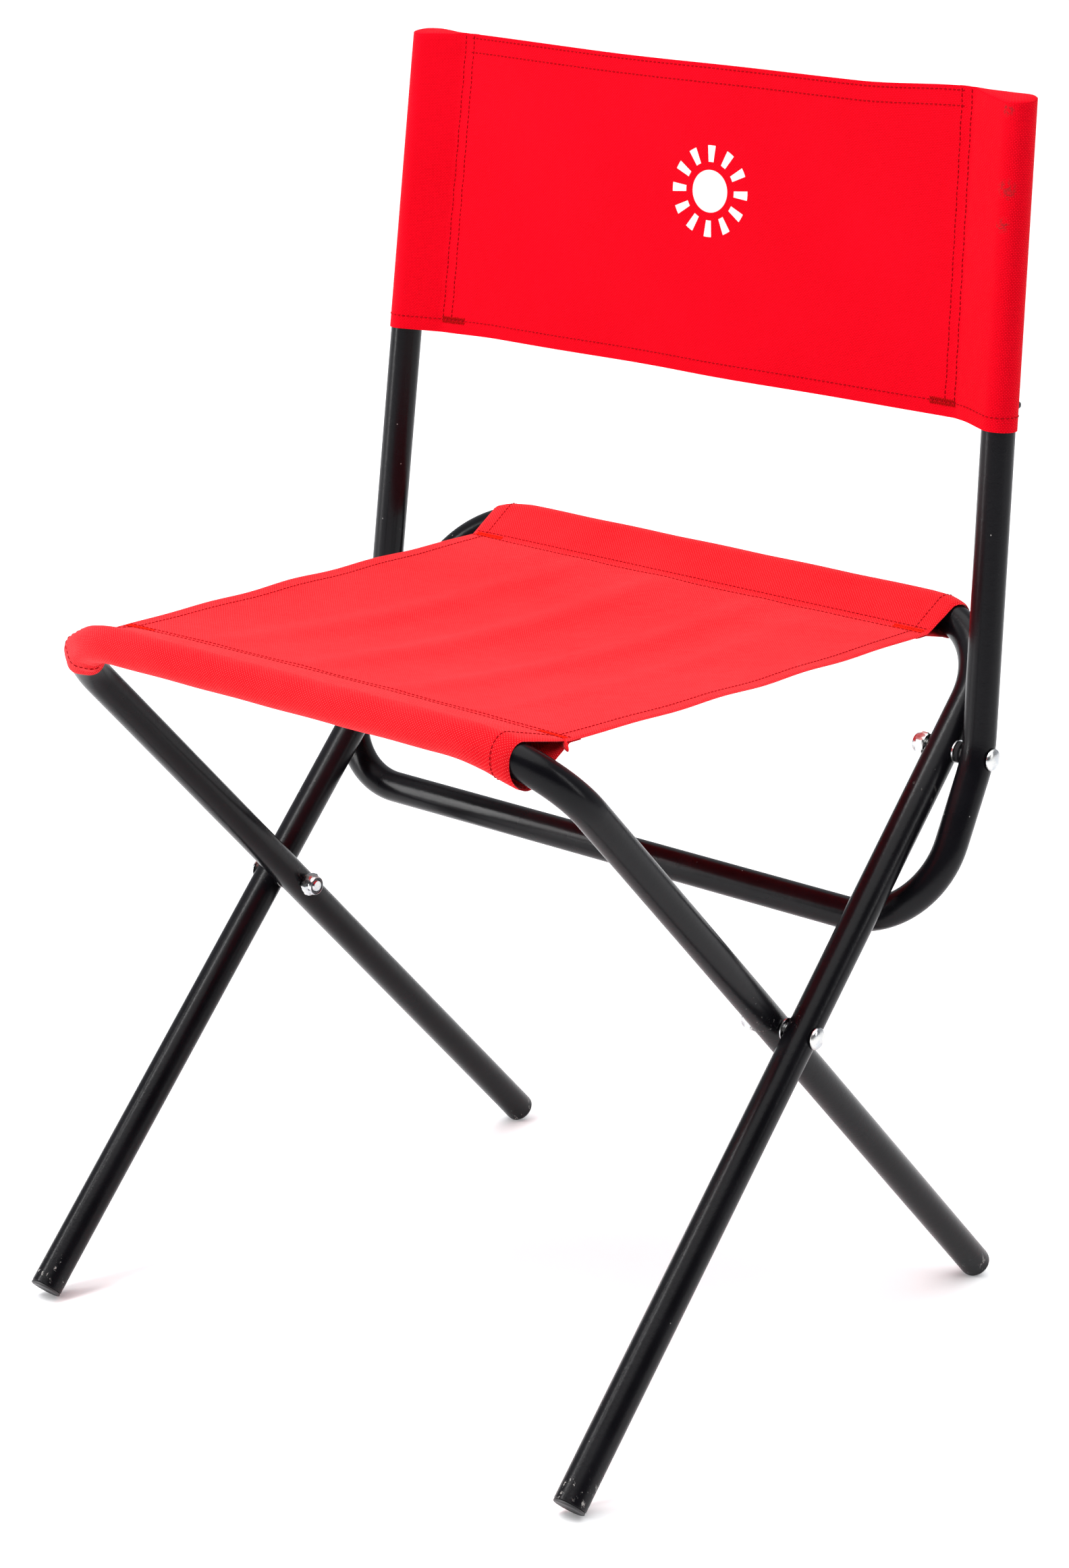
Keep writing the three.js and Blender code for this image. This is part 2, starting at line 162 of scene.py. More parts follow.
def apply_modifiers(obj):
    """Replaces the object's mesh by what its modifiers make of it."""
    bpy.context.view_layer.update()
    evaluated = obj.evaluated_get(bpy.context.evaluated_depsgraph_get())
    made = bpy.data.meshes.new_from_object(evaluated)
    obj.modifiers.clear()
    obj.data = made


def grid_faces(rows, cols, start=0, closed=False):
    faces = []
    last = cols if closed else cols - 1
    for r in range(rows - 1):
        for c in range(last):
            n = (c + 1) % cols
            a = start + r * cols
            faces.append((a + c, a + n, a + cols + n, a + cols + c))
    return faces


def joined(parts):
    """Points and faces of several closed pieces as one list."""
    points, faces, base = [], [], 0
    for piece_points, piece_faces in parts:
        points.append(np.asarray(piece_points, float))
        faces += [tuple(i + base for i in f) for f in piece_faces]
        base += len(piece_points)
    return np.concatenate(points), faces


def face_outward(obj):
    bm = bmesh.new()
    bm.from_mesh(obj.data)
    bmesh.ops.recalc_face_normals(bm, faces=bm.faces)
    bm.to_mesh(obj.data)
    bm.free()


def closed_piece(name, points, faces, material, sharp, uvs=None):
    obj = new_object(name, points, faces, uvs)
    face_outward(obj)
    return finish_mesh(obj, material, sharp)


# ---- Centrelines -------------------------------------------------------------------------

def bent_line(corners):
    """Points and headings along straight runs rounded at each inner corner: [(point, bend)]."""
    places, headings = [], []

    def run(a, b):
        length = np.linalg.norm(b - a)
        heading = (b - a) / length
        count = max(1, int(round(length / RUN_STEP)))
        for k in range(count + 1):
            places.append(a + (b - a) * k / count)
            headings.append(heading)

    here = np.array(corners[0][0], float)
    for i in range(1, len(corners) - 1):
        corner = np.array(corners[i][0], float)
        bend = corners[i][1]
        before = unit(corner - np.array(corners[i - 1][0], float))
        after = unit(np.array(corners[i + 1][0], float) - corner)
        turn = math.acos(float(np.clip(before @ after, -1, 1)))
        inward = unit(after - before * (after @ before))
        start = corner - before * bend * math.tan(turn / 2)
        centre = start + inward * bend
        run(here, start)
        steps = int(math.ceil(turn / BEND_STEP))
        for k in range(1, steps + 1):
            angle = turn * k / steps
            places.append(centre - inward * bend * math.cos(angle) + before * bend * math.sin(angle))
            headings.append(before * math.cos(angle) + inward * math.sin(angle))
        here = places.pop()
        headings.pop()
    run(here, np.array(corners[-1][0], float))
    return np.array(places), np.array(headings)


def symmetric_line(half):
    mirror = [(np.array(p) * (-1, 1, 1), bend) for p, bend in reversed(half)]
    return bent_line([(np.array(p), bend) for p, bend in half] + mirror)


FRONT_SLOPE = (RECLINE[1] - SCISSOR[1]) / (RECLINE[2] - SCISSOR[2])
REAR_SLOPE = (REAR_BAR_Y - SCISSOR[1]) / (REAR_BAR_Z - SCISSOR[2])


def front_leg(z):
    return np.array([FRONT_HALF, SCISSOR[1] + FRONT_SLOPE * (z - SCISSOR[2]), z])


def rear_leg(z):
    x = REAR_HALF - REAR_FLARE * (z - SCISSOR[2])
    return np.array([x, SCISSOR[1] + REAR_SLOPE * (z - SCISSOR[2]), z])


def foot_heights(slope):
    """Heights of a foot plug's outer face and of the tube's end, on the centreline."""
    lean = math.atan(abs(slope))
    edge = 0.5
    face = max(
        (PLUG_RADIUS - edge) * math.sin(lean),
        PLUG_RADIUS * math.sin(lean) - edge * math.cos(lean),
    )
    return face, face + (PLUG_HEIGHT + PLUG_GAP) * math.cos(lean)


FRONT_FOOT = foot_heights(FRONT_SLOPE)
REAR_FOOT = foot_heights(REAR_SLOPE)

FRONT_LINE = symmetric_line([(front_leg(FRONT_FOOT[1]), 0), (front_leg(FRONT_BAR_Z), FRONT_BEND)])
REAR_LINE = symmetric_line([(rear_leg(REAR_FOOT[1]), 0), (rear_leg(REAR_BAR_Z), REAR_BEND)])

UPWARD = unit([-BACK_CONVERGE, BACK_LEAN, 1])
DOWNWARD = unit([0, -BACK_LOWER_SLOPE, -1])
HINGE_TURN = math.pi - math.acos(float(UPWARD @ DOWNWARD))
HINGE_CORNER = np.array([BACK_HALF, RECLINE[1], RECLINE[2]]) - unit(UPWARD + DOWNWARD) * (
    BACK_HINGE_BEND * (1 / math.cos(HINGE_TURN / 2) - 1)
)


def upright(z):
    return HINGE_CORNER + UPWARD * (z - HINGE_CORNER[2]) / UPWARD[2]


def lower_back(z):
    return HINGE_CORNER + DOWNWARD * (z - HINGE_CORNER[2]) / DOWNWARD[2]


BACK_LINE = symmetric_line([
    (upright(BACK_TOP_Z), 0),
    (HINGE_CORNER, BACK_HINGE_BEND),
    (lower_back(BACK_BAR_Z), BACK_BEND),
])


# ---- Materials ---------------------------------------------------------------------------

class Nodes:
    """A short way to write the node tree of a material, or of a world given in its place."""

    def __init__(self, name, world=None):
        self.material = world or bpy.data.materials.new(name)
        self.material.use_nodes = True
        self.tree = self.material.node_tree
        self.shader = self.tree.nodes.get("Principled BSDF")

    def add(self, kind, inputs=None, **settings):
        node = self.tree.nodes.new(kind)
        for key, value in settings.items():
            setattr(node, key, value)
        for key, value in (inputs or {}).items():
            self.put(node.inputs[key], value)
        return node

    def put(self, socket, value):
        if isinstance(value, bpy.types.NodeSocket):
            self.tree.links.new(value, socket)
        elif isinstance(value, bpy.types.Node):
            self.tree.links.new(value.outputs[0], socket)
        else:
            socket.default_value = value

    def set(self, **values):
        """Sets the shader's own sockets, their names written with _ for each space."""
        for key, value in values.items():
            self.put(self.shader.inputs[key.replace("_", " ")], value)

    def math(self, operation, a, b=None, c=None):
        inputs = {i: v for i, v in enumerate((a, b, c)) if v is not None}
        return self.add("ShaderNodeMath", inputs, operation=operation).outputs[0]

    def noise(self, scale, detail, roughness, vector):
        inputs = {"Scale": scale, "Detail": detail, "Roughness": roughness, "Vector": vector}
        return self.add("ShaderNodeTexNoise", inputs)

    def ramp(self, factor, start, end, low_value=0.0, high_value=1.0):
        node = self.add("ShaderNodeMapRange", {
            "Value": factor,
            "From Min": start,
            "From Max": end,
            "To Min": low_value,
            "To Max": high_value,
        }, interpolation_type="SMOOTHSTEP")
        return node.outputs[0]

    def mix(self, factor, a, b):
        node = self.add("ShaderNodeMix", data_type="RGBA")
        self.put(node.inputs[0], factor)
        self.put(node.inputs[6], a)
        self.put(node.inputs[7], b)
        return node.outputs[2]

    def bump(self, height, strength, distance, normal=None):
        inputs = {"Height": height, "Strength": strength, "Distance": distance}
        if normal is not None:
            inputs["Normal"] = normal
        return self.add("ShaderNodeBump", inputs).outputs[0]


def position(n):
    return n.add("ShaderNodeTexCoord").outputs["Object"]


def powder_coat():
    n = Nodes("black_powder_coat")
    place = position(n)
    peel = n.noise(900, 2.0, 0.55, place)
    cloud = n.noise(14, 3.0, 0.6, place)
    dust = n.add("ShaderNodeTexVoronoi", {"Scale": 150, "Vector": place}, feature="F1")
    keep = n.noise(22, 1.0, 0.5, place)
    speck = n.math("MULTIPLY", n.ramp(dust.outputs["Distance"], 0.075, 0.045),
                   n.ramp(keep.outputs["Fac"], 0.60, 0.68))
    stretched = n.add("ShaderNodeMapping", {"Vector": place, "Scale": (1.0, 0.9, 0.35)})
    scuff_noise = n.noise(300, 4.0, 0.75, stretched.outputs[0])
    zones = scuff_zones(n, place)
    scuff = n.math("MULTIPLY", n.ramp(scuff_noise.outputs["Fac"], 0.60, 0.66), zones)
    wear = n.math("MAXIMUM", n.math("MULTIPLY", speck, 0.75), n.math("MULTIPLY", scuff, 0.85))
    base = n.mix(n.ramp(cloud.outputs["Fac"], 0.3, 0.7), (0.0020, 0.0019, 0.0027, 1),
                 (0.0040, 0.0038, 0.0050, 1))
    colour = n.mix(wear, base, (0.30, 0.29, 0.275, 1))
    n.set(Base_Color=colour)
    n.set(Roughness=n.ramp(cloud.outputs["Fac"], 0.25, 0.75, 0.23, 0.30))
    n.set(Specular_IOR_Level=0.14)
    coarse = n.noise(240, 2.0, 0.5, place)
    normal = n.bump(peel.outputs["Fac"], 0.20, 0.00025)
    normal = n.bump(coarse.outputs["Fac"], 0.10, 0.0006, normal)
    n.set(Normal=n.bump(wear, 0.25, 0.0002, normal))
    return n.material


def ball_mask(n, place, centre, radius):
    """1 inside a soft ball about a point in metres, 0 outside."""
    away = n.add("ShaderNodeVectorMath", {0: place, 1: tuple(float(x) * MM for x in centre)},
                 operation="DISTANCE")
    return n.ramp(away.outputs["Value"], radius * MM, radius * MM * 0.45)


def any_ball(n, place, balls):
    mask = None
    for centre, radius in balls:
        found = ball_mask(n, place, centre, radius)
        mask = found if mask is None else n.math("MAXIMUM", mask, found)
    return mask


def scuff_zones(n, place):
    """Where the coat is worn, alike on both sides: at the feet and near the hinges."""
    spots = [(front_leg(FRONT_FOOT[1]), 26), (rear_leg(REAR_FOOT[1]), 24),
             (np.array([REAR_HALF + 6, SCISSOR[1] - 8, SCISSOR[2] + 14]), 20),
             (front_leg(RECLINE[2] - 23), 12), (front_leg(SCISSOR[2] + 12), 11)]
    return any_ball(n, place, [(centre * (side, 1, 1), radius) for centre, radius in spots
                               for side in (1, -1)])


def zinc():
    n = Nodes("bright_zinc")
    place = position(n)
    fine = n.noise(600, 3.0, 0.6, place)
    blotch = n.noise(160, 3.0, 0.6, place)
    tint = n.mix(n.ramp(blotch.outputs["Fac"], 0.35, 0.65), (0.46, 0.48, 0.50, 1), (0.62, 0.62, 0.60, 1))
    n.set(Base_Color=tint, Metallic=1.0)
    n.set(Roughness=n.ramp(blotch.outputs["Fac"], 0.3, 0.7, 0.20, 0.36))
    n.set(Normal=n.bump(fine.outputs["Fac"], 0.18, 0.0002))
    return n.material


def plastic(name, dark, light, rough):
    n = Nodes(name)
    place = position(n)
    grain = n.noise(1400, 2.0, 0.5, place)
    cloud = n.noise(60, 3.0, 0.6, place)
    n.set(Base_Color=n.mix(cloud.outputs["Fac"], (*dark, 1), (*light, 1)))
    n.set(Roughness=n.ramp(cloud.outputs["Fac"], 0.3, 0.7, rough - 0.06, rough + 0.08))
    n.set(Normal=n.bump(grain.outputs["Fac"], 0.3, 0.0002))
    return n.material


def weave_height(n, flat):
    """Height of a plain weave over the flat cloth, and a share that tells warp from weft."""
    parts = n.add("ShaderNodeSeparateXYZ", {0: flat})
    turn = math.pi / (WEAVE_PITCH * MM)
    across = n.math("SINE", n.math("MULTIPLY", parts.outputs[0], turn))
    along = n.math("SINE", n.math("MULTIPLY", parts.outputs[1], turn))
    product = n.math("MULTIPLY", across, along)
    size = n.math("POWER", n.math("ABSOLUTE", product), 0.55)
    warp = n.ramp(product, -0.25, 0.25)
    height = n.math("MULTIPLY", size, n.math("MULTIPLY_ADD", warp, 0.30, 0.70))
    return height, warp


def canvas(name, crown_highlight, sheen, printed=None, soiled=None):
    """Woven polyester cloth; crown_highlight is the colour painted where a thread rises highest, a
    painted highlight, and the weave's low places get painted shade;
    printed draws a plain mark on it, soiled darkens worn places."""
    n = Nodes(name)
    flat = n.add("ShaderNodeUVMap", uv_map="weave").outputs[0]
    place = position(n)
    warped = n.noise(55, 2.0, 0.5, flat)
    wobble = n.add("ShaderNodeVectorMath", {0: warped.outputs["Color"], 1: (0.5, 0.5, 0.5)},
                   operation="SUBTRACT")
    small = n.add("ShaderNodeVectorMath", {0: wobble.outputs[0], "Scale": 0.0011}, operation="SCALE")
    laid = n.add("ShaderNodeVectorMath", {0: flat, 1: small.outputs[0]}, operation="ADD").outputs[0]
    height, warp = weave_height(n, laid)
    slub_map = n.add("ShaderNodeMapping", {"Vector": flat, "Scale": (1.0, 0.06, 1.0)})
    slub = n.noise(900, 2.0, 0.6, slub_map.outputs[0])
    slub_across = n.add("ShaderNodeMapping", {"Vector": flat, "Scale": (0.06, 1.0, 1.0)})
    slub_two = n.noise(900, 2.0, 0.6, slub_across.outputs[0])
    cloud = n.noise(16, 3.0, 0.55, place)
    streaks = n.math("ADD", slub.outputs["Fac"], slub_two.outputs["Fac"])
    # Painted shade and highlight on the weave: valley_shade darkens where the threads dip, the crown
    # colour lightens their tops; body is the cloth's own red.
    valley_shade = (0.42, 0.0004, 0.0040, 1)
    body = (0.68, 0.0008, 0.0075, 1)
    light = (*crown_highlight, 1)
    shade = n.mix(n.ramp(height, 0.10, 0.80), valley_shade, body)
    # Share of painted highlight a thread's top gets, more on warp than weft.
    lifted = n.math("MULTIPLY", n.math("MULTIPLY_ADD", warp, 0.75, 0.25), n.ramp(height, 0.40, 0.85))
    shade = n.mix(lifted, shade, light)
    uneven = n.ramp(n.math("MULTIPLY_ADD", cloud.outputs["Fac"], 0.5,
                           n.math("MULTIPLY", streaks, 0.25)), 0.30, 0.70)
    shade = n.mix(n.math("MULTIPLY", uneven, 0.20), shade, light)
    if soiled is not None:
        shade = n.mix(soiled(n, place), shade, (0.10, 0.018, 0.02, 1))
    if printed is not None:
        mark = printed(n, flat)
        cover = n.math("MULTIPLY", mark, n.ramp(height, 0.05, 0.35, 0.80, 1.0))
        shade = n.mix(cover, shade, (0.86, 0.84, 0.85, 1))
    n.set(Base_Color=shade)
    n.set(Roughness=n.ramp(height, 0.2, 0.9, 0.92, 0.72))
    n.set(Specular_IOR_Level=0.015)
    n.set(Sheen_Weight=sheen, Sheen_Roughness=0.35, Sheen_Tint=(1.0, 0.80, 0.80, 1))
    fold = n.noise(70, 3.0, 0.5, place)
    normal = n.bump(fold.outputs["Fac"], 0.12, 0.004)
    normal = n.bump(streaks, 0.18, 0.0003, normal)
    n.set(Normal=n.bump(height, 0.55, 0.00030, normal))
    return n.material


def thread(name, colour, bright):
    n = Nodes(name)
    place = position(n)
    ply = n.add("ShaderNodeTexWave", {"Scale": 900, "Distortion": 1.5, "Vector": place},
                bands_direction="DIAGONAL")
    n.set(Base_Color=n.mix(ply.outputs["Fac"], (*colour, 1), (*bright, 1)))
    n.set(Roughness=0.75, Specular_IOR_Level=0.04)
    n.set(Normal=n.bump(ply.outputs["Fac"], 0.4, 0.0001))
    return n.material


COAT = powder_coat()
ZINC = zinc()
PLASTIC = plastic("black_moulded_plastic", (0.010, 0.010, 0.011), (0.022, 0.022, 0.024), 0.52)
NYLON = plastic("grey_nylon", (0.030, 0.034, 0.042), (0.060, 0.065, 0.075), 0.42)
THREAD = thread("red_thread", (0.19, 0.0006, 0.0030), (0.34, 0.0012, 0.0052))
TACK_THREAD = thread("bartack_thread", (0.60, 0.0050, 0.0015), (0.92, 0.0200, 0.0040))


# ---- Tubes -------------------------------------------------------------------------------

def ring_frames(headings):
    """Two unit vectors across each heading, carried along without twist."""
    first = headings[0]
    seed = np.array([0.0, 1.0, 0.0]) if abs(first[1]) < 0.8 else np.array([1.0, 0.0, 0.0])
    across = unit(seed - first * (seed @ first))
    found = []
    for heading in headings:
        across = unit(across - heading * (across @ heading))
        found.append((across, np.cross(heading, across)))
    return found


def tube_solid(line):
    """A hollow tube along a centreline, its ends square-cut with a small round."""
    places, headings = line
    bore = TUBE_RADIUS - TUBE_WALL
    angles = np.arange(TUBE_SIDES) * 2 * math.pi / TUBE_SIDES
    frames = ring_frames(headings)

    def ring(i, radius, slide=0):
        u, v = frames[i]
        return places[i] + headings[i] * slide + radius * (
            np.cos(angles)[:, None] * u + np.sin(angles)[:, None] * v
        )

    last = len(places) - 1
    rings = [ring(0, TUBE_RADIUS - END_ROUND), ring(0, TUBE_RADIUS, END_ROUND)]
    rings += [ring(i, TUBE_RADIUS) for i in range(1, last)]
    rings += [ring(last, TUBE_RADIUS, -END_ROUND), ring(last, TUBE_RADIUS - END_ROUND)]
    rings += [ring(i, bore) for i in range(last, -1, -1)]
    count = len(rings)
    faces = grid_faces(count, TUBE_SIDES, closed=True)
    base = (count - 1) * TUBE_SIDES
    for c in range(TUBE_SIDES):
        n = (c + 1) % TUBE_SIDES
        faces.append((base + c, base + n, n, c))
    return np.concatenate(rings), faces


def drill(obj, hinges):
    """Cuts the bolt holes, one straight bore along X at each hinge."""
    cutters = []
    for hinge in hinges:
        bpy.ops.mesh.primitive_cylinder_add(
            vertices=32, radius=HOLE_RADIUS * MM, depth=0.6, rotation=(0, math.pi / 2, 0),
            location=(0, hinge[1] * MM, hinge[2] * MM),
        )
        cutter = bpy.context.object
        cutters.append(cutter)
        modifier = obj.modifiers.new("hole", "BOOLEAN")
        modifier.operation = "DIFFERENCE"
        modifier.solver = "EXACT"
        modifier.object = cutter
    apply_modifiers(obj)
    for cutter in cutters:
        bpy.data.objects.remove(cutter)


def add_tube(name, node, line, body, hinges):
    obj = new_object(name, *tube_solid(line))
    face_outward(obj)
    drill(obj, hinges)
    finish_mesh(obj, COAT, 35.0)
    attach(obj, body)
    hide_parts(node)
    return obj


add_tube("front_leg_tube", "front_leg_frame", FRONT_LINE, FRONT_BODY, [SCISSOR, RECLINE])
add_tube("rear_leg_tube", "rear_leg_frame", REAR_LINE, REAR_BODY, [SCISSOR])
add_tube("back_tube", "back_frame", BACK_LINE, BACK_BODY, [RECLINE])


# ---- Turned pieces -----------------------------------------------------------------------

def turned(profile, outline=None, sides=72):
    """Revolves [along, radius] points about +X; outline limits the radius, as a hexagon does."""
    angles = np.arange(sides) * 2 * math.pi / sides
    limit = np.full(sides, 1e9) if outline is None else outline(angles)
    points, rows = [], []
    for along, radius in profile:
        if radius <= 1e-9:
            rows.append(("pole", len(points)))
            points.append((along, 0, 0))
        else:
            rows.append(("ring", len(points)))
            r = np.minimum(radius, limit)
            points += [(along, r[k] * math.cos(a), r[k] * math.sin(a)) for k, a in enumerate(angles)]
    faces = []
    pairs = list(zip(rows, rows[1:]))
    if rows[0][0] == "ring":
        pairs.append((rows[-1], rows[0]))
    for (kind_a, a), (kind_b, b) in pairs:
        for k in range(sides):
            n = (k + 1) % sides
            if kind_a == "pole":
                faces.append((a, b + n, b + k))
            elif kind_b == "pole":
                faces.append((a + k, a + n, b))
            else:
                faces.append((a + k, a + n, b + n, b + k))
    return np.array(points, float), faces


def rounded(corners, radius, steps=3):
    """A profile with its sharp inner corners rounded off."""
    out = [corners[0]]
    for before, corner, after in zip(corners, corners[1:], corners[2:]):
        b, c, a = (np.array(p, float) for p in (before, corner, after))
        reach = min(radius, 0.45 * np.linalg.norm(b - c), 0.45 * np.linalg.norm(a - c))
        if reach < 1e-6:
            out.append(corner)
            continue
        start, end = c + unit(b - c) * reach, c + unit(a - c) * reach
        for k in range(steps + 1):
            t = k / steps
            out.append(tuple((1 - t) ** 2 * start + 2 * t * (1 - t) * c + t * t * end))
    out.append(corners[-1])
    return out


def aligned(points, origin, heading):
    """Turns points made about +X to lie about a heading from an origin."""
    turn = Vector((1, 0, 0)).rotation_difference(Vector(heading)).to_matrix()
    return points @ np.array(turn).T + np.asarray(origin, float)


def add_turned(name, node, solid, origin, heading, material, body):
    points, faces = solid
    obj = closed_piece(name, aligned(points, origin, heading), faces, material, 30.0)
    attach(obj, body)
    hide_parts(node)
    return obj


PLUG_STEM_RADIUS = 8.3
PLUG_STEM_END = 15.6
PLUG_RIB = 0.45
PLUG_RIB_STARTS = (4.2, 9.2)


def plug_solid():
    """A plug with a slightly dished face, its ribbed stem running up into the tube."""
    head = [(0.35, 0), (0.25, 4.5), (0.05, 8.2), (0, 9.0), (0.45, PLUG_RADIUS)]
    stem = [(PLUG_HEIGHT, PLUG_RADIUS), (PLUG_HEIGHT, PLUG_STEM_RADIUS)]
    for start in PLUG_RIB_STARTS:
        stem += [(start, PLUG_STEM_RADIUS), (start + 0.4, PLUG_STEM_RADIUS + PLUG_RIB),
                 (start + 1.2, PLUG_STEM_RADIUS + PLUG_RIB), (start + 1.7, PLUG_STEM_RADIUS)]
    stem += [(PLUG_STEM_END, 7.6), (PLUG_STEM_END, 0)]
    return turned(rounded(head + stem, 0.25))


def add_plugs():
    for side, word in ((1, "left"), (-1, "right")):
        flip = np.array([side, 1, 1])
        places = [
            (f"front_foot_{word}", front_leg(FRONT_FOOT[0]), front_leg(SCISSOR[2]), FRONT_BODY),
            (f"rear_foot_{word}", rear_leg(REAR_FOOT[0]), rear_leg(SCISSOR[2]), REAR_BODY),
            (f"upright_plug_{word}", upright(BACK_TOP_Z + PLUG_HEIGHT + PLUG_GAP), upright(600),
             BACK_BODY),
        ]
        for node, face, into, body in places:
            heading = unit((into - face) * flip)
            add_turned(f"{node}_plug", node, plug_solid(), face * flip, heading, PLASTIC,
                       body)


add_plugs()

BOLT_RADIUS = 3.9
HEAD_RADIUS = 6.75
HEAD_RIM = 0.6
HEAD_DOME = 2.6
DOME_STEPS = 10
NUT_FLATS = 13.0
NUT_HEX = 5.6
NUT_HEIGHT = 8.0
BOLT_PROUD = 0.4
THREAD_PITCH = 1.25
RING_SEAT = 2.0
RING_HEIGHT = 1.4
RING_RADII = (5.0, 4.3)
WASHER_RADIUS = 7.15
SCISSOR_WASHER = 0.9
RECLINE_WASHER = 1.0


def bolt_solid(shank):
    profile = [(-shank, 0), (-shank, BOLT_RADIUS - 0.7)]
    along = -shank + 0.35
    for k in range(10):
        profile.append((along, BOLT_RADIUS - (0.02 if k % 2 else 0.40)))
        along += THREAD_PITCH / 2
    profile += [(along, BOLT_RADIUS), (0, BOLT_RADIUS), (0, HEAD_RADIUS - 0.25), (0.2, HEAD_RADIUS),
                (HEAD_RIM, HEAD_RADIUS)]
    for k in range(1, DOME_STEPS + 1):
        angle = math.pi / 2 * k / DOME_STEPS
        flatter = math.sin(angle) ** 0.92
        radius = 0 if k == DOME_STEPS else (HEAD_RADIUS - 0.15) * math.cos(angle)
        profile.append((HEAD_RIM + 0.1 + (HEAD_DOME - 0.1) * flatter, radius))
    return turned(profile)


def hexagon(angles):
    within = np.mod(angles, math.pi / 3) - math.pi / 6
    return NUT_FLATS / 2 / np.cos(within)


def nut_solid():
    corner = NUT_FLATS / 2 / math.cos(math.pi / 6)
    flat = NUT_FLATS / 2
    hexed = [(0, HOLE_RADIUS), (0, flat - 0.1), (0.75, corner + 0.05), (NUT_HEX - 0.95, corner + 0.05),
             (NUT_HEX, flat - 0.25)]
    collar = rounded([(NUT_HEX, 6.2), (NUT_HEX + 1.1, 6.15), (NUT_HEIGHT, 5.75),
                      (NUT_HEIGHT - 0.15, 5.4), (NUT_HEIGHT - RING_SEAT, 5.4)], 0.5)
    return turned(hexed + collar + [(NUT_HEIGHT - RING_SEAT, HOLE_RADIUS)], hexagon)


def flat_ring(outer, inner, thickness, edge=0.12):
    return turned([(0, inner), (0, outer - edge), (edge, outer), (thickness - edge, outer),
                   (thickness, outer - edge), (thickness, inner)])


def spacer_solid(thickness):
    ribs = 3
    outer = 6.4
    profile = [(0, HOLE_RADIUS)]
    pitch = thickness / ribs
    for k in range(ribs):
        middle = (k + 0.5) * pitch
        for share in (-0.5, -0.32, -0.15, 0, 0.15, 0.32, 0.5):
            lift = math.cos(share * math.pi) ** 0.6 if abs(share) < 0.5 else 0.0
            profile.append((middle + share * pitch, outer - 0.75 * (1 - lift)))
    profile.append((thickness, HOLE_RADIUS))
    return turned(profile)


def add_fasteners():
    front_outer, front_inner = FRONT_HALF + TUBE_RADIUS, FRONT_HALF - TUBE_RADIUS
    rear_outer, rear_inner = REAR_HALF + TUBE_RADIUS, REAR_HALF - TUBE_RADIUS
    back_outer, back_inner = BACK_HALF + TUBE_RADIUS, BACK_HALF - TUBE_RADIUS
    sets = (("scissor", SCISSOR, front_outer, rear_inner), ("recline", RECLINE, back_outer, front_inner))
    for side, word in ((1, "left"), (-1, "right")):
        out, inward = np.array([side, 0, 0]), np.array([-side, 0, 0])
        for label, hinge, head_x, nut_x in sets:
            seat, nut_seat = head_x + GAP, nut_x - GAP
            shank = seat - (nut_seat - NUT_HEIGHT - BOLT_PROUD)
            name = f"{label}_{word}"

            def put(piece, solid, x, heading, material):
                origin = np.array([side * x, hinge[1], hinge[2]])
                add_turned(f"{name}_{piece}_piece", f"{name}_{piece}", solid, origin, heading,
                           material, FRONT_BODY)

            put("bolt", bolt_solid(shank), seat, out, ZINC)
            put("nut", nut_solid(), nut_seat, inward, ZINC)
            ring_x = nut_seat - NUT_HEIGHT + RING_SEAT - GAP
            put("lock_ring", flat_ring(*RING_RADII, RING_HEIGHT), ring_x, inward, NYLON)
            if label == "scissor":
                thick, washer = SCISSOR_WASHER, (rear_outer + front_inner - SCISSOR_WASHER) / 2
            else:
                thick, washer = RECLINE_WASHER, front_outer + GAP
            put("washer", flat_ring(WASHER_RADIUS, HOLE_RADIUS, thick), washer, out, ZINC)
            if label == "recline":
                start = washer + RECLINE_WASHER + GAP
                put("spacer", spacer_solid(back_inner - GAP - start), start, out, PLASTIC)


add_fasteners()


# ---- Cloth -------------------------------------------------------------------------------

class Cloth:
    """A grid of middle-surface points in mm with its flat coordinates and outward normals."""

    def __init__(self, points, outward):
        self.points = np.asarray(points, float)
        down = np.gradient(self.points, axis=0)
        across = np.gradient(self.points, axis=1)
        normal = np.cross(across, down)
        normal = normal / np.maximum(np.linalg.norm(normal, axis=2, keepdims=True), 1e-9)
        self.normals = normal * outward
        step_down = np.linalg.norm(np.diff(self.points, axis=0), axis=2).mean(axis=1)
        step_across = np.linalg.norm(np.diff(self.points, axis=1), axis=2)
        v = np.concatenate([[0], np.cumsum(step_down)])
        u = np.concatenate([np.zeros((len(v), 1)), np.cumsum(step_across, axis=1)], axis=1)
        middle = u[:, u.shape[1] // 2][:, None]
        self.flat = np.stack([u - middle, np.broadcast_to(v[:, None], u.shape)], axis=2) * MM

    def at(self, row, col):
        """Point and normal at fractional grid places."""
        row, col = np.asarray(row, float), np.asarray(col, float)
        rows, cols = self.points.shape[:2]
        r = np.clip(np.floor(row).astype(int), 0, rows - 2)
        c = np.clip(np.floor(col).astype(int), 0, cols - 2)
        fr, fc = (row - r)[..., None], (col - c)[..., None]

        def look(a):
            upper = a[r, c] * (1 - fc) + a[r, c + 1] * fc
            lower = a[r + 1, c] * (1 - fc) + a[r + 1, c + 1] * fc
            return upper * (1 - fr) + lower * fr

        return look(self.points), unit(look(self.normals))


def spread(a, b, ks, count):
    """The points at steps ks out of count on the way from a to b."""
    return [a + (b - a) * k / count for k in ks]


def thicken(obj):
    modifier = obj.modifiers.new("thickness", "SOLIDIFY")
    modifier.thickness = CLOTH * MM
    modifier.offset = 0.0
    modifier.use_even_offset = False
    modifier.use_quality_normals = True
    apply_modifiers(obj)


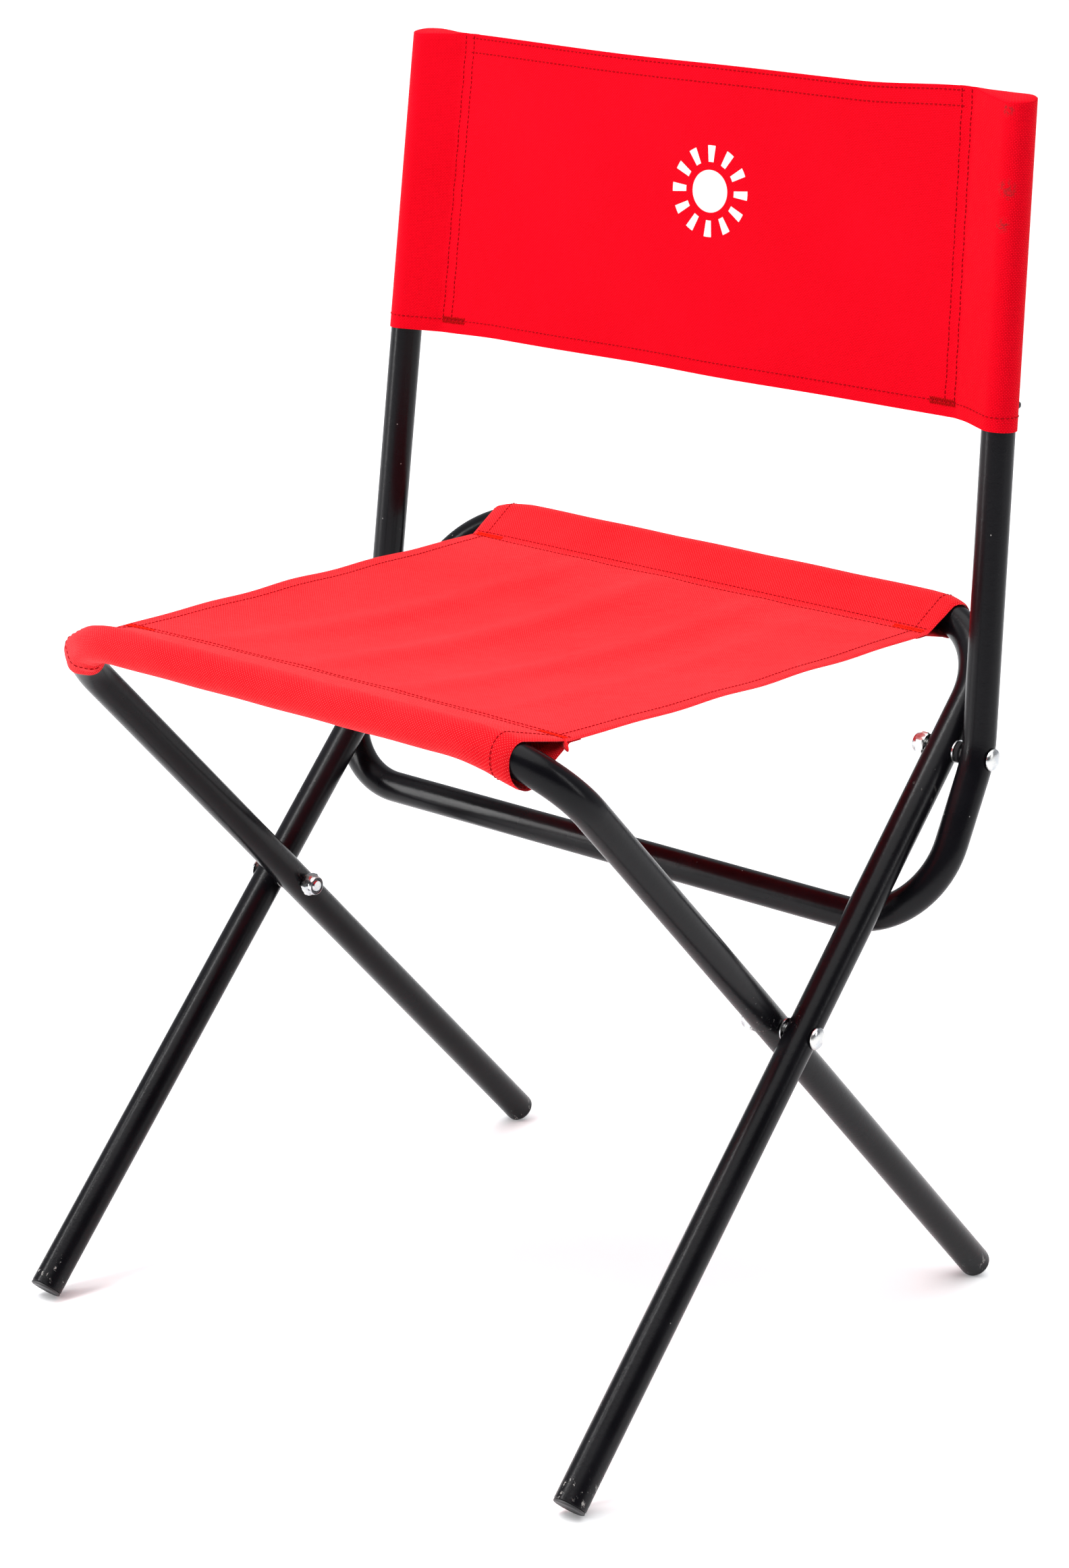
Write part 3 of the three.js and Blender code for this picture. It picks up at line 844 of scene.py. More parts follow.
def cloth_object(name, cloths, material):
    """One thick sheet from grids that share their edge points."""
    points, faces, uvs, base = [], [], [], 0
    for cloth in cloths:
        rows, cols = cloth.points.shape[:2]
        points.append(cloth.points.reshape(-1, 3))
        uvs.append(cloth.flat.reshape(-1, 2))
        faces += grid_faces(rows, cols, base)
        base += rows * cols
    obj = new_object(name, np.concatenate(points), faces, np.concatenate(uvs))
    bm = bmesh.new()
    bm.from_mesh(obj.data)
    bmesh.ops.remove_doubles(bm, verts=bm.verts, dist=2e-5)
    bmesh.ops.dissolve_degenerate(bm, edges=bm.edges, dist=1e-6)
    bmesh.ops.recalc_face_normals(bm, faces=bm.faces)
    bm.to_mesh(obj.data)
    bm.free()
    thicken(obj)
    finish_mesh(obj, material, 60.0)
    return obj


# ---- Seat --------------------------------------------------------------------------------

class Bar:
    """The top of a leg frame: its centreline by x, with the outward and sideways directions."""

    def __init__(self, line):
        places, headings = line
        keep = [i for i in range(len(places)) if abs(headings[i][0]) > 0.2]
        order = np.argsort(places[keep][:, 0])
        self.places = places[keep][order]
        heads = headings[keep][order]
        heads = heads * np.where(heads[:, :1] < 0, -1.0, 1.0)
        leg = unit(places[0] - places[8])
        leg[0] = 0
        leg = unit(leg)
        side = unit(np.cross([1.0, 0, 0], leg))
        self.side = side if side[2] > 0 else -side
        outward = np.cross(heads, self.side)
        self.outward = unit(outward * np.sign(outward[:, 2:3] + 1e-9))
        steps = np.linalg.norm(np.diff(self.places, axis=0), axis=1)
        self.arc = np.concatenate([[0], np.cumsum(steps)])

    def point(self, x, angle, radius, upright_share):
        """A point on a sleeve about the bar; upright_share 1 keeps its plane square to X."""
        xs = self.places[:, 0]
        square = np.interp(x, xs, self.arc)
        lifted = xs + radius * math.cos(angle) * self.outward[:, 0]
        order = np.argsort(lifted)
        flat = np.interp(x, lifted[order], self.arc[order])
        place, out = self.at_arc(square + (flat - square) * upright_share)
        return place + radius * (math.cos(angle) * out + math.sin(angle) * self.side)

    def at_arc(self, arc):
        place = np.array([np.interp(arc, self.arc, self.places[:, k]) for k in range(3)])
        return place, unit([np.interp(arc, self.arc, self.outward[:, k]) for k in range(3)])

    def basis(self, x):
        return self.at_arc(np.interp(x, self.places[:, 0], self.arc))


FRONT_BAR = Bar(REAR_LINE)
REAR_BAR = Bar(FRONT_LINE)

SEAT_FRONT_Y = REAR_BAR_Y
SEAT_REAR_Y = float(front_leg(FRONT_BAR_Z)[1])
SLEEVE = TUBE_RADIUS + CLOTH_FIT + CLOTH / 2
HEM = 9.5
HEM_DROP = 0.85
FRONT_SEAM = 44.5
FRONT_SEAM_BOW = 4.5
REAR_SEAM = 33.0
FLAP = 9.0
SEAM_Z = (438.2, 438.6)
SEAT_SAG = 10.0

FRONT_ENDS = (-180.0, 166.0)
REAR_ENDS = (-181.0, 178.0)
FRONT_SEAM_ENDS = (-168.0, 171.5)
REAR_SEAM_ENDS = (-179.5, 178.5)

WRAP_STEPS = 26
RISE_STEPS = 8
FLAP_STEPS = 5
PANEL_STEPS = 84
SEAT_COLUMNS = 92


def across(u, ends):
    return ends[0] + (ends[1] - ends[0]) * (u + 1) / 2


def seat_columns():
    """Column places: (share across from -1 to 1, how far the hem is turned under, in mm)."""
    half = 0.5 * (FRONT_SEAM_ENDS[1] - FRONT_SEAM_ENDS[0])
    hem_share = HEM / half
    main = [(u, 0.0) for u in np.sin(np.linspace(-1, 1, SEAT_COLUMNS) * math.pi / 2 * 0.86)
            / math.sin(math.pi / 2 * 0.86)]
    turned_under = [(1 - hem_share * t, 1.0) for t in (0.05, 0.3, 0.6, 0.85, 1.0)]
    left = [(-u, h) for u, h in reversed(turned_under)]
    return left + [(-1.0, 0.5)] + main[1:-1] + [(1.0, 0.5)] + turned_under


# Soft ridges from front to back: (place at the front, drift to the rear, width, height in mm),
# the first three as shares of the half width.
SEAT_RIDGES = (
    (-0.62, 0.16, 0.070, 2.5),
    (-0.20, 0.10, 0.075, 3.0),
    (0.22, 0.12, 0.065, 2.5),
    (0.60, -0.02, 0.060, 1.6),
    (-0.42, 0.05, 0.16, -1.0),
    (0.02, 0.08, 0.13, -1.2),
    (0.42, 0.06, 0.14, -0.9),
)


def panel_point(u, t):
    """The cloth between its two seams, with its sag and soft ridges."""
    front_y = SEAT_FRONT_Y + FRONT_SEAM - FRONT_SEAM_BOW * u * u
    front = np.array([across(u, FRONT_SEAM_ENDS), front_y, SEAM_Z[0]])
    rear = np.array([across(u, REAR_SEAM_ENDS), SEAT_REAR_Y - REAR_SEAM, SEAM_Z[1]])
    point = front + (rear - front) * t
    hang = math.sin(math.pi * t)
    point[0] += 1.8 * hang * u ** 3
    middle = 1 - abs(u) ** 2.6
    point[2] -= SEAT_SAG * middle * hang ** 0.9
    ridges = sum(h * math.exp(-((u - a - b * t) / w) ** 2) for a, b, w, h in SEAT_RIDGES)
    point[2] += ridges * middle * hang ** 0.5
    point[2] += 0.35 * math.sin(9.0 * t + 3.1 * u) * math.sin(5.0 * u + 1.3) * hang
    pucker = math.exp(-((1 - abs(u)) / 0.10) ** 2) * hang
    point[2] += 0.55 * pucker * math.sin(26 * t + 4 * u)
    return point


def sleeve_rows(bar, u, ends, seam, upright_share, bulge):
    """One sleeve at a column: from where the cloth meets the bar, round it, to where it leaves."""
    x = across(u, ends)
    place, out = bar.basis(x)
    side = bar.side
    near_mouth = smooth(abs(u), 0.90, 0.97)
    radius = SLEEVE + HEM_DROP * near_mouth
    toward = seam - place
    apex = math.atan2(toward @ side, toward @ out)
    distance = math.hypot(toward @ side, toward @ out)
    open_angle = math.acos(min(0.98, radius / distance))
    start, end = apex + open_angle, apex - open_angle + 2 * math.pi
    angles = spread(start, end, range(WRAP_STEPS + 1), WRAP_STEPS)
    return [bar.point(x, angle, radius + bulge(x, angle), upright_share) for angle in angles]


def front_bulge(x, angle):
    """Wrinkles where the front sleeve is pushed round its bend, and slack at its far mouth."""
    inner = max(0.0, -math.cos(angle)) ** 1.5
    bend = float(smooth(-x, 138, 168))
    creased = 1.0 * inner * bend * (0.9 + math.sin((-x - 138) * 0.62 + 0.8 * math.sin(3 * angle)))
    slack = float(smooth(x, 118, 158)) * max(0.0, math.cos(angle - math.radians(232))) ** 2
    ripple = 0.10 * math.sin(0.11 * x + 2 * angle)
    facets = 0.55 * float(smooth(-x, 146, 170)) * math.cos(5 * angle + 0.8)
    return creased + 2.4 * slack + ripple + facets


def rear_bulge(x, angle):
    slack = float(smooth(abs(x), 150, 178)) * max(0.0, math.cos(angle - math.radians(228))) ** 2
    return 1.6 * slack + 0.12 * math.sin(0.09 * x + 2 * angle + 1.0)


def lifted_seam(u, t, extra):
    point = panel_point(u, t)
    point[2] += extra
    return point


def seat_path(u):
    """One column of the seat, from the front flap's end over the panel to the rear flap's end."""
    front_seam = panel_point(u, 0.0)
    rear_seam = panel_point(u, 1.0)
    far = float(smooth(u, 0.55, 1.0))
    front = sleeve_rows(FRONT_BAR, u, FRONT_ENDS, front_seam, far, front_bulge)
    rear = sleeve_rows(REAR_BAR, u, REAR_ENDS, rear_seam, 0.0, rear_bulge)
    under = -(CLOTH + 0.25 + HEM_DROP * float(smooth(abs(u), 0.93, 0.97)))
    flap_share = FLAP / (SEAT_REAR_Y - SEAT_FRONT_Y - FRONT_SEAM - REAR_SEAM)
    flap_steps = range(1, FLAP_STEPS + 1)
    rows = [lifted_seam(u, flap_share * (1 - k / FLAP_STEPS), under) for k in range(FLAP_STEPS)]
    rows += spread(lifted_seam(u, 0.0, under), front[0], range(RISE_STEPS), RISE_STEPS)
    rows += front
    rows += spread(front[-1], front_seam, range(1, RISE_STEPS), RISE_STEPS)
    rows += [panel_point(u, k / PANEL_STEPS) for k in range(PANEL_STEPS + 1)]
    rows += spread(rear_seam, rear[-1], range(1, RISE_STEPS), RISE_STEPS)
    rows += rear[::-1]
    rows += spread(rear[0], lifted_seam(u, 1.0, under), range(1, RISE_STEPS + 1), RISE_STEPS)
    return rows + [lifted_seam(u, 1 - flap_share * k / FLAP_STEPS, under) for k in flap_steps]


ROW_FRONT_SEAM = FLAP_STEPS + RISE_STEPS + WRAP_STEPS + RISE_STEPS
ROW_REAR_SEAM = ROW_FRONT_SEAM + PANEL_STEPS
ROW_FRONT_WRAP = FLAP_STEPS + RISE_STEPS
ROW_REAR_WRAP = ROW_REAR_SEAM + RISE_STEPS


def seat_cloth():
    columns = seat_columns()
    base = np.array([seat_path(u) for u, _ in columns]).transpose(1, 0, 2)
    # Normals come from the unturned sheet, so each hem lies flat under its own edge.
    main = [i for i, (_, turned_in) in enumerate(columns) if turned_in < 1]
    top = Cloth(base[:, main], 1.0)
    if top.normals[ROW_FRONT_SEAM + 20, 40][2] < 0:
        top = Cloth(base[:, main], -1.0)
    shares = np.array([columns[i][0] for i in main])
    normals = np.zeros_like(base)
    for j, (u, _) in enumerate(columns):
        where = np.interp(u, shares, np.arange(len(shares)))
        low_i = min(int(where), len(shares) - 2)
        f = where - low_i
        normals[:, j] = unit(top.normals[:, low_i] * (1 - f) + top.normals[:, low_i + 1] * f)
    for j, (u, turned_in) in enumerate(columns):
        if turned_in == 1.0:
            base[:, j] -= normals[:, j] * HEM_DROP
        elif turned_in == 0.5:
            sideways = unit(base[:, j] - base[:, j + (1 if u < 0 else -1)])
            base[:, j] += sideways * 0.35 - normals[:, j] * HEM_DROP / 2
    return Cloth(base, 1.0), top


def soil_on_seat(n, place):
    return n.math("MULTIPLY", n.ramp(n.noise(38, 4, 0.6, place).outputs["Fac"], 0.62, 0.85), 0.05)


SEAT, SEAT_TOP = seat_cloth()
# The seat gets a lighter, pinker crown colour than the cover, though both are one cloth: painted light
# for the seat lying face-up under the lamps.
SEAT_MATERIAL = canvas("seat_canvas", (0.84, 0.038, 0.043), 0.16, soiled=soil_on_seat)
seat = cloth_object("seat_cloth", [SEAT], SEAT_MATERIAL)


# ---- Backrest cover ----------------------------------------------------------------------

COVER_INSET = 30.0
# The cover's two edges as listed (x, height) knots; its right pocket hangs a little lower.
COVER_Z = {
    "bottom": [(-250, 570.8), (-205, 571.2), (-150, 572.6), (0, 574.2), (150, 574.6), (205, 574.6),
               (228, 572.6), (250, 572.2)],
    "top": [(-250, 760.4), (-225, 760.8), (-190, 761.8), (-60, 760.2), (110, 760.6), (192, 764.6),
            (222, 762.0), (250, 760.6)],
}
COVER_WRAP = 24
COVER_RISE = 9
COVER_FLAP = 4
COVER_PANEL = 96
COVER_ROWS = 62
LAYER = 0.75
POCKET_FLAP = 10.0
POCKET_X = 225.0
LID_DROP = {"left": 3.0, "right": 1.9}


def cover_half(side, z):
    """One pocket at a height: its seam, its wrap round the tube and the way inward."""
    centre = upright(z) * (side, 1, 1)
    inward = np.array([-side, 0.0, 0.0])
    front = np.array([0.0, -1.0, 0.0])
    seam = centre + inward * COVER_INSET
    open_angle = math.acos(SLEEVE / COVER_INSET)
    wrap = []
    for k in range(COVER_WRAP + 1):
        angle = open_angle + (2 * math.pi - 2 * open_angle) * k / COVER_WRAP
        wrap.append(centre + SLEEVE * (math.cos(angle) * inward + math.sin(angle) * front))
    return seam, wrap, inward


def cover_path(v):
    """One row of the cover from flap to flap, v running from the bottom edge to the top."""

    def height(x):
        bottom = float(curve(x, COVER_Z["bottom"]))
        top = float(curve(x, COVER_Z["top"]))
        return bottom + (top - bottom) * v

    def pocket(side):
        seam, wrap, inward = cover_half(side, height(side * POCKET_X))
        back = np.array([0, LAYER, 0])
        front_seam = seam - back / 2
        back_seam = seam + back / 2
        rise_steps = range(1, COVER_RISE + 1)
        path = spread(front_seam, wrap[0], rise_steps, COVER_RISE) + wrap[1:]
        path += spread(wrap[-1], back_seam, rise_steps, COVER_RISE)
        for k in range(1, COVER_FLAP + 1):
            path.append(back_seam + inward * POCKET_FLAP * k / COVER_FLAP)
        return front_seam, path

    left_seam, left = pocket(-1)
    right_seam, right = pocket(1)
    points = left[::-1] + [left_seam]
    for k in range(1, COVER_PANEL):
        t = k / COVER_PANEL
        points.append(left_seam + (right_seam - left_seam) * t)
    points += [right_seam] + right
    placed = []
    for point in points:
        point = np.array(point, float)
        rise = height(point[0])
        centre_y = upright(point[2])[1]
        forward = np.clip((centre_y + SLEEVE - point[1]) / (2 * SLEEVE), 0, 1)
        over_tube = float(smooth(abs(point[0]), BACK_HALF - 52, BACK_HALF - 32))
        drop = LID_DROP["left" if point[0] > 0 else "right"]
        rise -= drop * forward * over_tube * float(smooth(v, 0.9, 1.0))
        rise -= point[2]
        placed.append(point + np.array([0, BACK_LEAN * rise, rise]))
    return np.array(placed)


COL_LEFT_SEAM = COVER_FLAP + COVER_RISE + COVER_WRAP + COVER_RISE
COL_RIGHT_SEAM = COL_LEFT_SEAM + COVER_PANEL


def cover_heights():
    """Row places from 0 to 1, closer together at both hems."""
    edge = [0, 0.004, 0.014, 0.028, 0.042]
    middle = list(np.linspace(0.06, 0.94, COVER_ROWS - 2 * len(edge)))
    return edge + middle + [1 - e for e in reversed(edge)]


def cover_cloth():
    heights = cover_heights()
    points = np.array([cover_path(v) for v in heights])
    panel = slice(COL_LEFT_SEAM, COL_RIGHT_SEAM + 1)
    x = points[:, panel, 0]
    v = np.array(heights)[:, None]
    t = (x - x[:, :1]) / (x[:, -1:] - x[:, :1])
    hang = np.sin(math.pi * t)
    wave = 1.6 * np.sin(2 * math.pi * (1.1 * t + 0.5 * v + 0.1)) + 1.2 * np.sin(
        2 * math.pi * (0.6 * t - 0.9 * v + 0.3))
    wave = wave + 0.7 * np.sin(2 * math.pi * (3.0 * t + 1.6 * v))
    points[:, panel, 1] += hang ** 0.7 * (wave + 1.6 * np.sin(math.pi * v))
    near_seam = np.exp(-((t * 390 - 4) / 9) ** 2) + np.exp(-(((1 - t) * 390 - 4) / 9) ** 2)
    points[:, panel, 1] += 0.28 * near_seam * np.sin(v * 62)
    return points, heights


def lid_cloth(points, side):
    """The closed top of a pocket, from its front edge over the tube's end to its back edge."""
    top = points[-1]
    if side < 0:
        front = top[COVER_FLAP + COVER_RISE + COVER_WRAP // 2:COL_LEFT_SEAM + 1]
        back = top[:COVER_FLAP + COVER_RISE + COVER_WRAP // 2 + 1][::-1]
    else:
        outer = COL_RIGHT_SEAM + COVER_RISE + COVER_WRAP // 2
        front = top[COL_RIGHT_SEAM:outer + 1][::-1]
        back = top[outer:]
    count = len(front)
    back = back[:count]
    rows = []
    for w in (0, 0.04, 0.12, 0.25, 0.4, 0.55, 0.7, 0.85, 0.94, 1.0):
        row = front + (back - front) * w
        lift = 1.25 * math.sin(math.pi * w) ** 0.4
        depth = np.linalg.norm(back - front, axis=1)
        row = row + np.array([0, 0, 1.0]) * (0.9 * lift * smooth(depth, 2, 18))[:, None]
        rows.append(row)
    return np.array(rows)


def sun_mark(n, flat):
    """A plain round sun printed on the panel: a disc with twelve short rays."""
    parts = n.add("ShaderNodeSeparateXYZ", {0: flat})
    x = n.math("SUBTRACT", parts.outputs[0], MARK["x"] * MM)
    y = n.math("SUBTRACT", parts.outputs[1], MARK["y"] * MM)
    radius = n.math("SQRT", n.math("ADD", n.math("MULTIPLY", x, x), n.math("MULTIPLY", y, y)))
    disc = n.ramp(radius, (MARK["disc"] + 0.25) * MM, (MARK["disc"] - 0.25) * MM)
    angle = n.math("ARCTAN2", y, x)
    rays = n.ramp(n.math("COSINE", n.math("MULTIPLY", angle, MARK["rays"])), 0.30, 0.44)
    inside = n.ramp(radius, (MARK["ray_end"] + 0.25) * MM, (MARK["ray_end"] - 0.25) * MM)
    outside = n.ramp(radius, (MARK["ray_start"] - 0.25) * MM, (MARK["ray_start"] + 0.25) * MM)
    band = n.math("MULTIPLY", inside, outside)
    return n.math("MAXIMUM", disc, n.math("MULTIPLY", band, rays))


MARK = {"x": 8.0, "y": 112.0, "disc": 13.0, "ray_start": 18.0, "ray_end": 28.0, "rays": 12}


def soil_on_cover(n, place):
    """Faint grey rubs along the outer edge of the sitter's left pocket."""
    rubs = [((222, 130, 755), 5), ((226, 127, 711), 8), ((225, 126, 691), 6), ((247, 124, 596), 7)]
    mask = any_ball(n, place, rubs)
    grain = n.ramp(n.noise(420, 3, 0.6, place).outputs["Fac"], 0.42, 0.62)
    return n.math("MULTIPLY", n.math("MULTIPLY", mask, grain), 0.55)


COVER_POINTS, COVER_HEIGHTS = cover_cloth()
COVER = Cloth(COVER_POINTS, 1.0)
# The cover's crown colour is darker than the seat's: painted shade for the upright panel of the same
# cloth.
COVER_CROWN_HIGHLIGHT = (0.78, 0.0030, 0.0170)
COVER_SHEEN = 0.07
COVER_MATERIAL = canvas("cover_canvas", COVER_CROWN_HIGHLIGHT, COVER_SHEEN, printed=sun_mark, soiled=soil_on_cover)
LIDS = [Cloth(lid_cloth(COVER_POINTS, side), 1.0) for side in (-1, 1)]
cover = cloth_object("backrest_cloth", [COVER] + LIDS, COVER_MATERIAL)
cover.data.materials.append(canvas("cover_canvas_plain", COVER_CROWN_HIGHLIGHT, COVER_SHEEN, soiled=soil_on_cover))
for face in cover.data.polygons:
    face.material_index = 1 if face.normal.y > 0 else 0


# ---- Stitching ---------------------------------------------------------------------------

STITCH_RADIUS = 0.30
STITCH_SIDES = 6
STITCH_SINK = 0.3
PLAIN = {"pitch": 3.1, "length": 2.55, "slant": 0.0}
TACK = {"pitch": 0.75, "length": 2.6, "slant": math.radians(68)}


def stitch_template(length):
    """One stitch along +X: a short round thread whose ends dive into the cloth."""
    radius, sides, sink = STITCH_RADIUS, STITCH_SIDES, STITCH_SINK
    shares = (-0.5, -0.36, 0.0, 0.36, 0.5)
    swell = (0.35, 0.85, 1.0, 0.85, 0.35)
    rise = (-sink, 0.35 * radius, 0.75 * radius, 0.35 * radius, -sink)
    points = [(-0.5 * length, 0, -sink)]
    for share, size, up in zip(shares, swell, rise):
        for k in range(sides):
            a = 2 * math.pi * k / sides
            points.append((share * length, size * radius * math.cos(a), up + size * radius * math.sin(a)))
    points.append((0.5 * length, 0, -sink))
    faces = [(0, 1 + (k + 1) % sides, 1 + k) for k in range(sides)]
    faces += [tuple(f) for f in grid_faces(len(shares), sides, 1, closed=True)]
    last = 1 + (len(shares) - 1) * sides
    faces += [(last + k, last + (k + 1) % sides, len(points) - 1) for k in range(sides)]
    return np.array(points), faces


def spaced(points, normals, pitch):
    """Resamples a polyline at a pitch; returns centres, headings and normals."""
    steps = np.linalg.norm(np.diff(points, axis=0), axis=1)
    arc = np.concatenate([[0], np.cumsum(steps)])
    count = max(1, int(arc[-1] / pitch))
    where = (np.arange(count) + 0.5) * arc[-1] / count

    def look(a, w):
        return np.stack([np.interp(w, arc, a[:, k]) for k in range(3)], axis=1)

    centres = look(points, where)
    ahead, behind = look(points, where + 0.4), look(points, where - 0.4)
    headings = unit(ahead - behind)
    up = look(normals, where)
    up = unit(up - headings * np.sum(up * headings, axis=1)[:, None])
    return centres, headings, up


def sew(cloth, rows, cols, style=PLAIN):
    """The stitches of one row on a cloth; slanted ones lean to each side in turn."""
    rows, cols = np.broadcast_arrays(np.asarray(rows, float), np.asarray(cols, float))
    centres, headings, up = spaced(*cloth.at(rows, cols), style["pitch"])
    sideways = np.cross(up, headings)
    template, faces = stitch_template(style["length"])
    parts = []
    for i in range(len(centres)):
        angle = style["slant"] * (1 if i % 2 else -1)
        along = headings[i] * math.cos(angle) + sideways[i] * math.sin(angle)
        side = sideways[i] * math.cos(angle) - headings[i] * math.sin(angle)
        base = centres[i] + up[i] * (CLOTH / 2)
        placed = base + template[:, :1] * along + template[:, 1:2] * side + template[:, 2:3] * up[i]
        parts.append((placed, faces))
    return parts


def panel_column(row, x):
    """Column of the cover's panel where a row crosses a given x."""
    columns = np.arange(COL_LEFT_SEAM, COL_RIGHT_SEAM + 1)
    return float(np.interp(x, COVER_POINTS[int(round(row)), columns, 0], columns))


def thread_object(name, parts, material):
    return closed_piece(name, *joined(parts), material, 80.0)


def corner_fold():
    """The small folded end of the seam that sticks out at the sitter's left front corner."""
    corner = panel_point(1.0, 0.0)
    length, height, thick = 11.0, 5.2, 1.5
    count, sides = 11, 16
    rings = []
    for k in range(count):
        t = k / (count - 1)
        centre = corner + np.array([-3.5 + 8.5 * t, -2.0 - 0.5 * length * t, -0.8 - 3.0 * t * t])
        size = 0.35 + 0.65 * math.sin(math.pi * min(1.0, 0.15 + 0.85 * t)) ** 0.5
        lean = 0.5 + 0.9 * t
        ring = []
        for j in range(sides):
            a = 2 * math.pi * j / sides
            wave = 1 + 0.10 * math.sin(3 * a + 5 * t)
            x = 0.5 * thick * size * math.cos(a) * wave
            z = 0.5 * height * size * math.sin(a) * wave
            ring.append(centre + np.array([x * math.cos(lean) + z * math.sin(lean) * 0.7,
                                           0.4 * x, z * math.cos(lean) - x * math.sin(lean)]))
        rings.append(ring)
    points = np.array(rings).reshape(-1, 3)
    faces = grid_faces(count, sides, closed=True)
    faces.append(tuple(range(sides - 1, -1, -1)))
    faces.append(tuple(range((count - 1) * sides, count * sides)))
    flat = np.stack([points[:, 0], points[:, 1] + points[:, 2]], axis=1) * MM
    return closed_piece("seat_corner_fold", points, faces, SEAT_MATERIAL, 80.0, flat)


# Rows of sewing beside a seat seam in mm, and across the seat as shares of its half width
SEAM_TWIN = 3.2
TACK_TWIN = 1.2
HEM_LINE = 0.944
TACK_FROM = 0.985
TACK_TO = 0.865


def seat_stitching():
    """The stitches and the bartacks of the seat, on its unturned top sheet."""
    parts, tacks = [], []
    cols = SEAT_TOP.points.shape[1]
    flat_rows = SEAT_TOP.flat[:, 0, 1] / MM
    order = np.arange(len(flat_rows))

    def row_at(seam_row, offset):
        return float(np.interp(flat_rows[seam_row] + offset, flat_rows, order))

    inset = 1.2
    line = np.linspace(inset, cols - 1 - inset, 240)
    seams = (ROW_FRONT_SEAM, ROW_REAR_SEAM)
    for seam in seams:
        for offset in (-SEAM_TWIN, SEAM_TWIN):
            parts += sew(SEAT_TOP, row_at(seam, offset), line)
    shares = np.array([u for u, turned_in in seat_columns() if turned_in < 1])

    def column_at(share):
        return float(np.interp(share, shares, np.arange(len(shares))))

    # Each side hem is one line of sewing with its sleeve mouths, with bartacks at both seams.
    for end in (-1, 1):
        rows = np.linspace(ROW_FRONT_WRAP + 1, ROW_REAR_WRAP + WRAP_STEPS - 1, 700)
        parts += sew(SEAT_TOP, rows, column_at(HEM_LINE * end))
        bar_cols = np.linspace(column_at(end * TACK_FROM), column_at(end * TACK_TO), 60)
        for seam in seams:
            for offset in (-TACK_TWIN, TACK_TWIN):
                tacks += sew(SEAT_TOP, row_at(seam, offset), bar_cols, TACK)
    return parts, tacks


SEAT_STITCHES, SEAT_TACKS = seat_stitching()
seat_thread = thread_object("seat_stitching", SEAT_STITCHES, THREAD)
seat_tacks = thread_object("seat_bartacks", SEAT_TACKS, TACK_THREAD)
seat_fold = corner_fold()


# Places on the cover in mm: inboard of a seam, up from the bottom edge, and from the middle
SEAM_INBOARD = (0.8, 7.6)
TOP_ROWS = (2.6, 11.5)
TOP_REACH = 186.0
BOTTOM_ROW = 8.5
TACK_ROWS = (7.2, 9.6)
TACK_REACH = (198.0, 180.0)
COVER_HEIGHT = 190.0


def cover_stitching():
    """The stitches and the bartacks of the cover."""
    parts, tacks = [], []
    rows_total = len(COVER_HEIGHTS)
    span = np.array(COVER_HEIGHTS) * COVER_HEIGHT

    def row_at(height_mm):
        return float(np.interp(height_mm, span, np.arange(rows_total)))

    for side in (-1, 1):
        for inboard in SEAM_INBOARD:
            seam_x = side * (abs(COVER_POINTS[:, COL_RIGHT_SEAM, 0]) - inboard)
            rows = np.linspace(row_at(9.5), rows_total - 1 - 1.0, 300)
            xs = np.interp(rows, np.arange(rows_total), seam_x)
            cols = [panel_column(r, x) for r, x in zip(rows, xs)]
            parts += sew(COVER, rows, cols)
    ends = [panel_column(rows_total - 1, x) for x in (-TOP_REACH, TOP_REACH)]
    for below in TOP_ROWS:
        parts += sew(COVER, row_at(COVER_HEIGHT - below), np.linspace(*ends, 400))
    whole = np.linspace(COVER_FLAP, COVER_POINTS.shape[1] - 1 - COVER_FLAP, 900)
    parts += sew(COVER, row_at(BOTTOM_ROW), whole)
    for side in (-1, 1):
        ends = [panel_column(3, side * x) for x in TACK_REACH]
        for height in TACK_ROWS:
            tacks += sew(COVER, row_at(height), np.linspace(*ends, 60), TACK)
    return parts, tacks


PIN_HEIGHT = 587.0
PIN_OUT = 10.7


def cover_pin():
    """A small dark pin head on the outer side of the sitter's left pocket, near its bottom."""
    out = unit([0.774, 0.633, 0.0])
    dome = [(0, 0), (0, 2.0), (0.5, 1.95), (1.0, 1.6), (1.4, 0.9), (1.5, 0)]
    points, faces = turned(dome, sides=32)
    placed = aligned(points, upright(PIN_HEIGHT) + out * PIN_OUT, out)
    return closed_piece("cover_pin", placed, faces, PLASTIC, 50.0)


COVER_TACK_THREAD = thread("dark_bartack_thread", (0.24, 0.0010, 0.0015), (0.42, 0.0040, 0.0030))
COVER_STITCHES, COVER_TACKS = cover_stitching()
cover_thread = thread_object("backrest_stitching", COVER_STITCHES, THREAD)
cover_tacks = thread_object("backrest_bartacks", COVER_TACKS, COVER_TACK_THREAD)
pin = cover_pin()


# ---- What each soft piece moves with -----------------------------------------------------

for piece in (seat, seat_thread, seat_tacks, seat_fold):
    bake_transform(piece)
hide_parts("seat_fabric")

for piece in (cover, cover_thread, cover_tacks):
    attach(piece, BACK_BODY)
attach(pin, BACK_BODY)
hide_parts("backrest_cover")


# ---- Floor, light and camera -------------------------------------------------------------

WHITE = (1, 1, 1, 1)
FLOOR_HALF = 20000.0
FLOOR_DROP = 0.2
FLOOR_COLOUR = (0.92, 0.92, 0.925, 1)
FLOOR_GLOW = 0.10
LIGHT_BEHIND = (0.50, 0.51, 0.54, 1)
LIGHT_IN_FRONT = (0.045, 0.045, 0.055, 1)
LIGHT_AIM = (0, 0, 0.4)


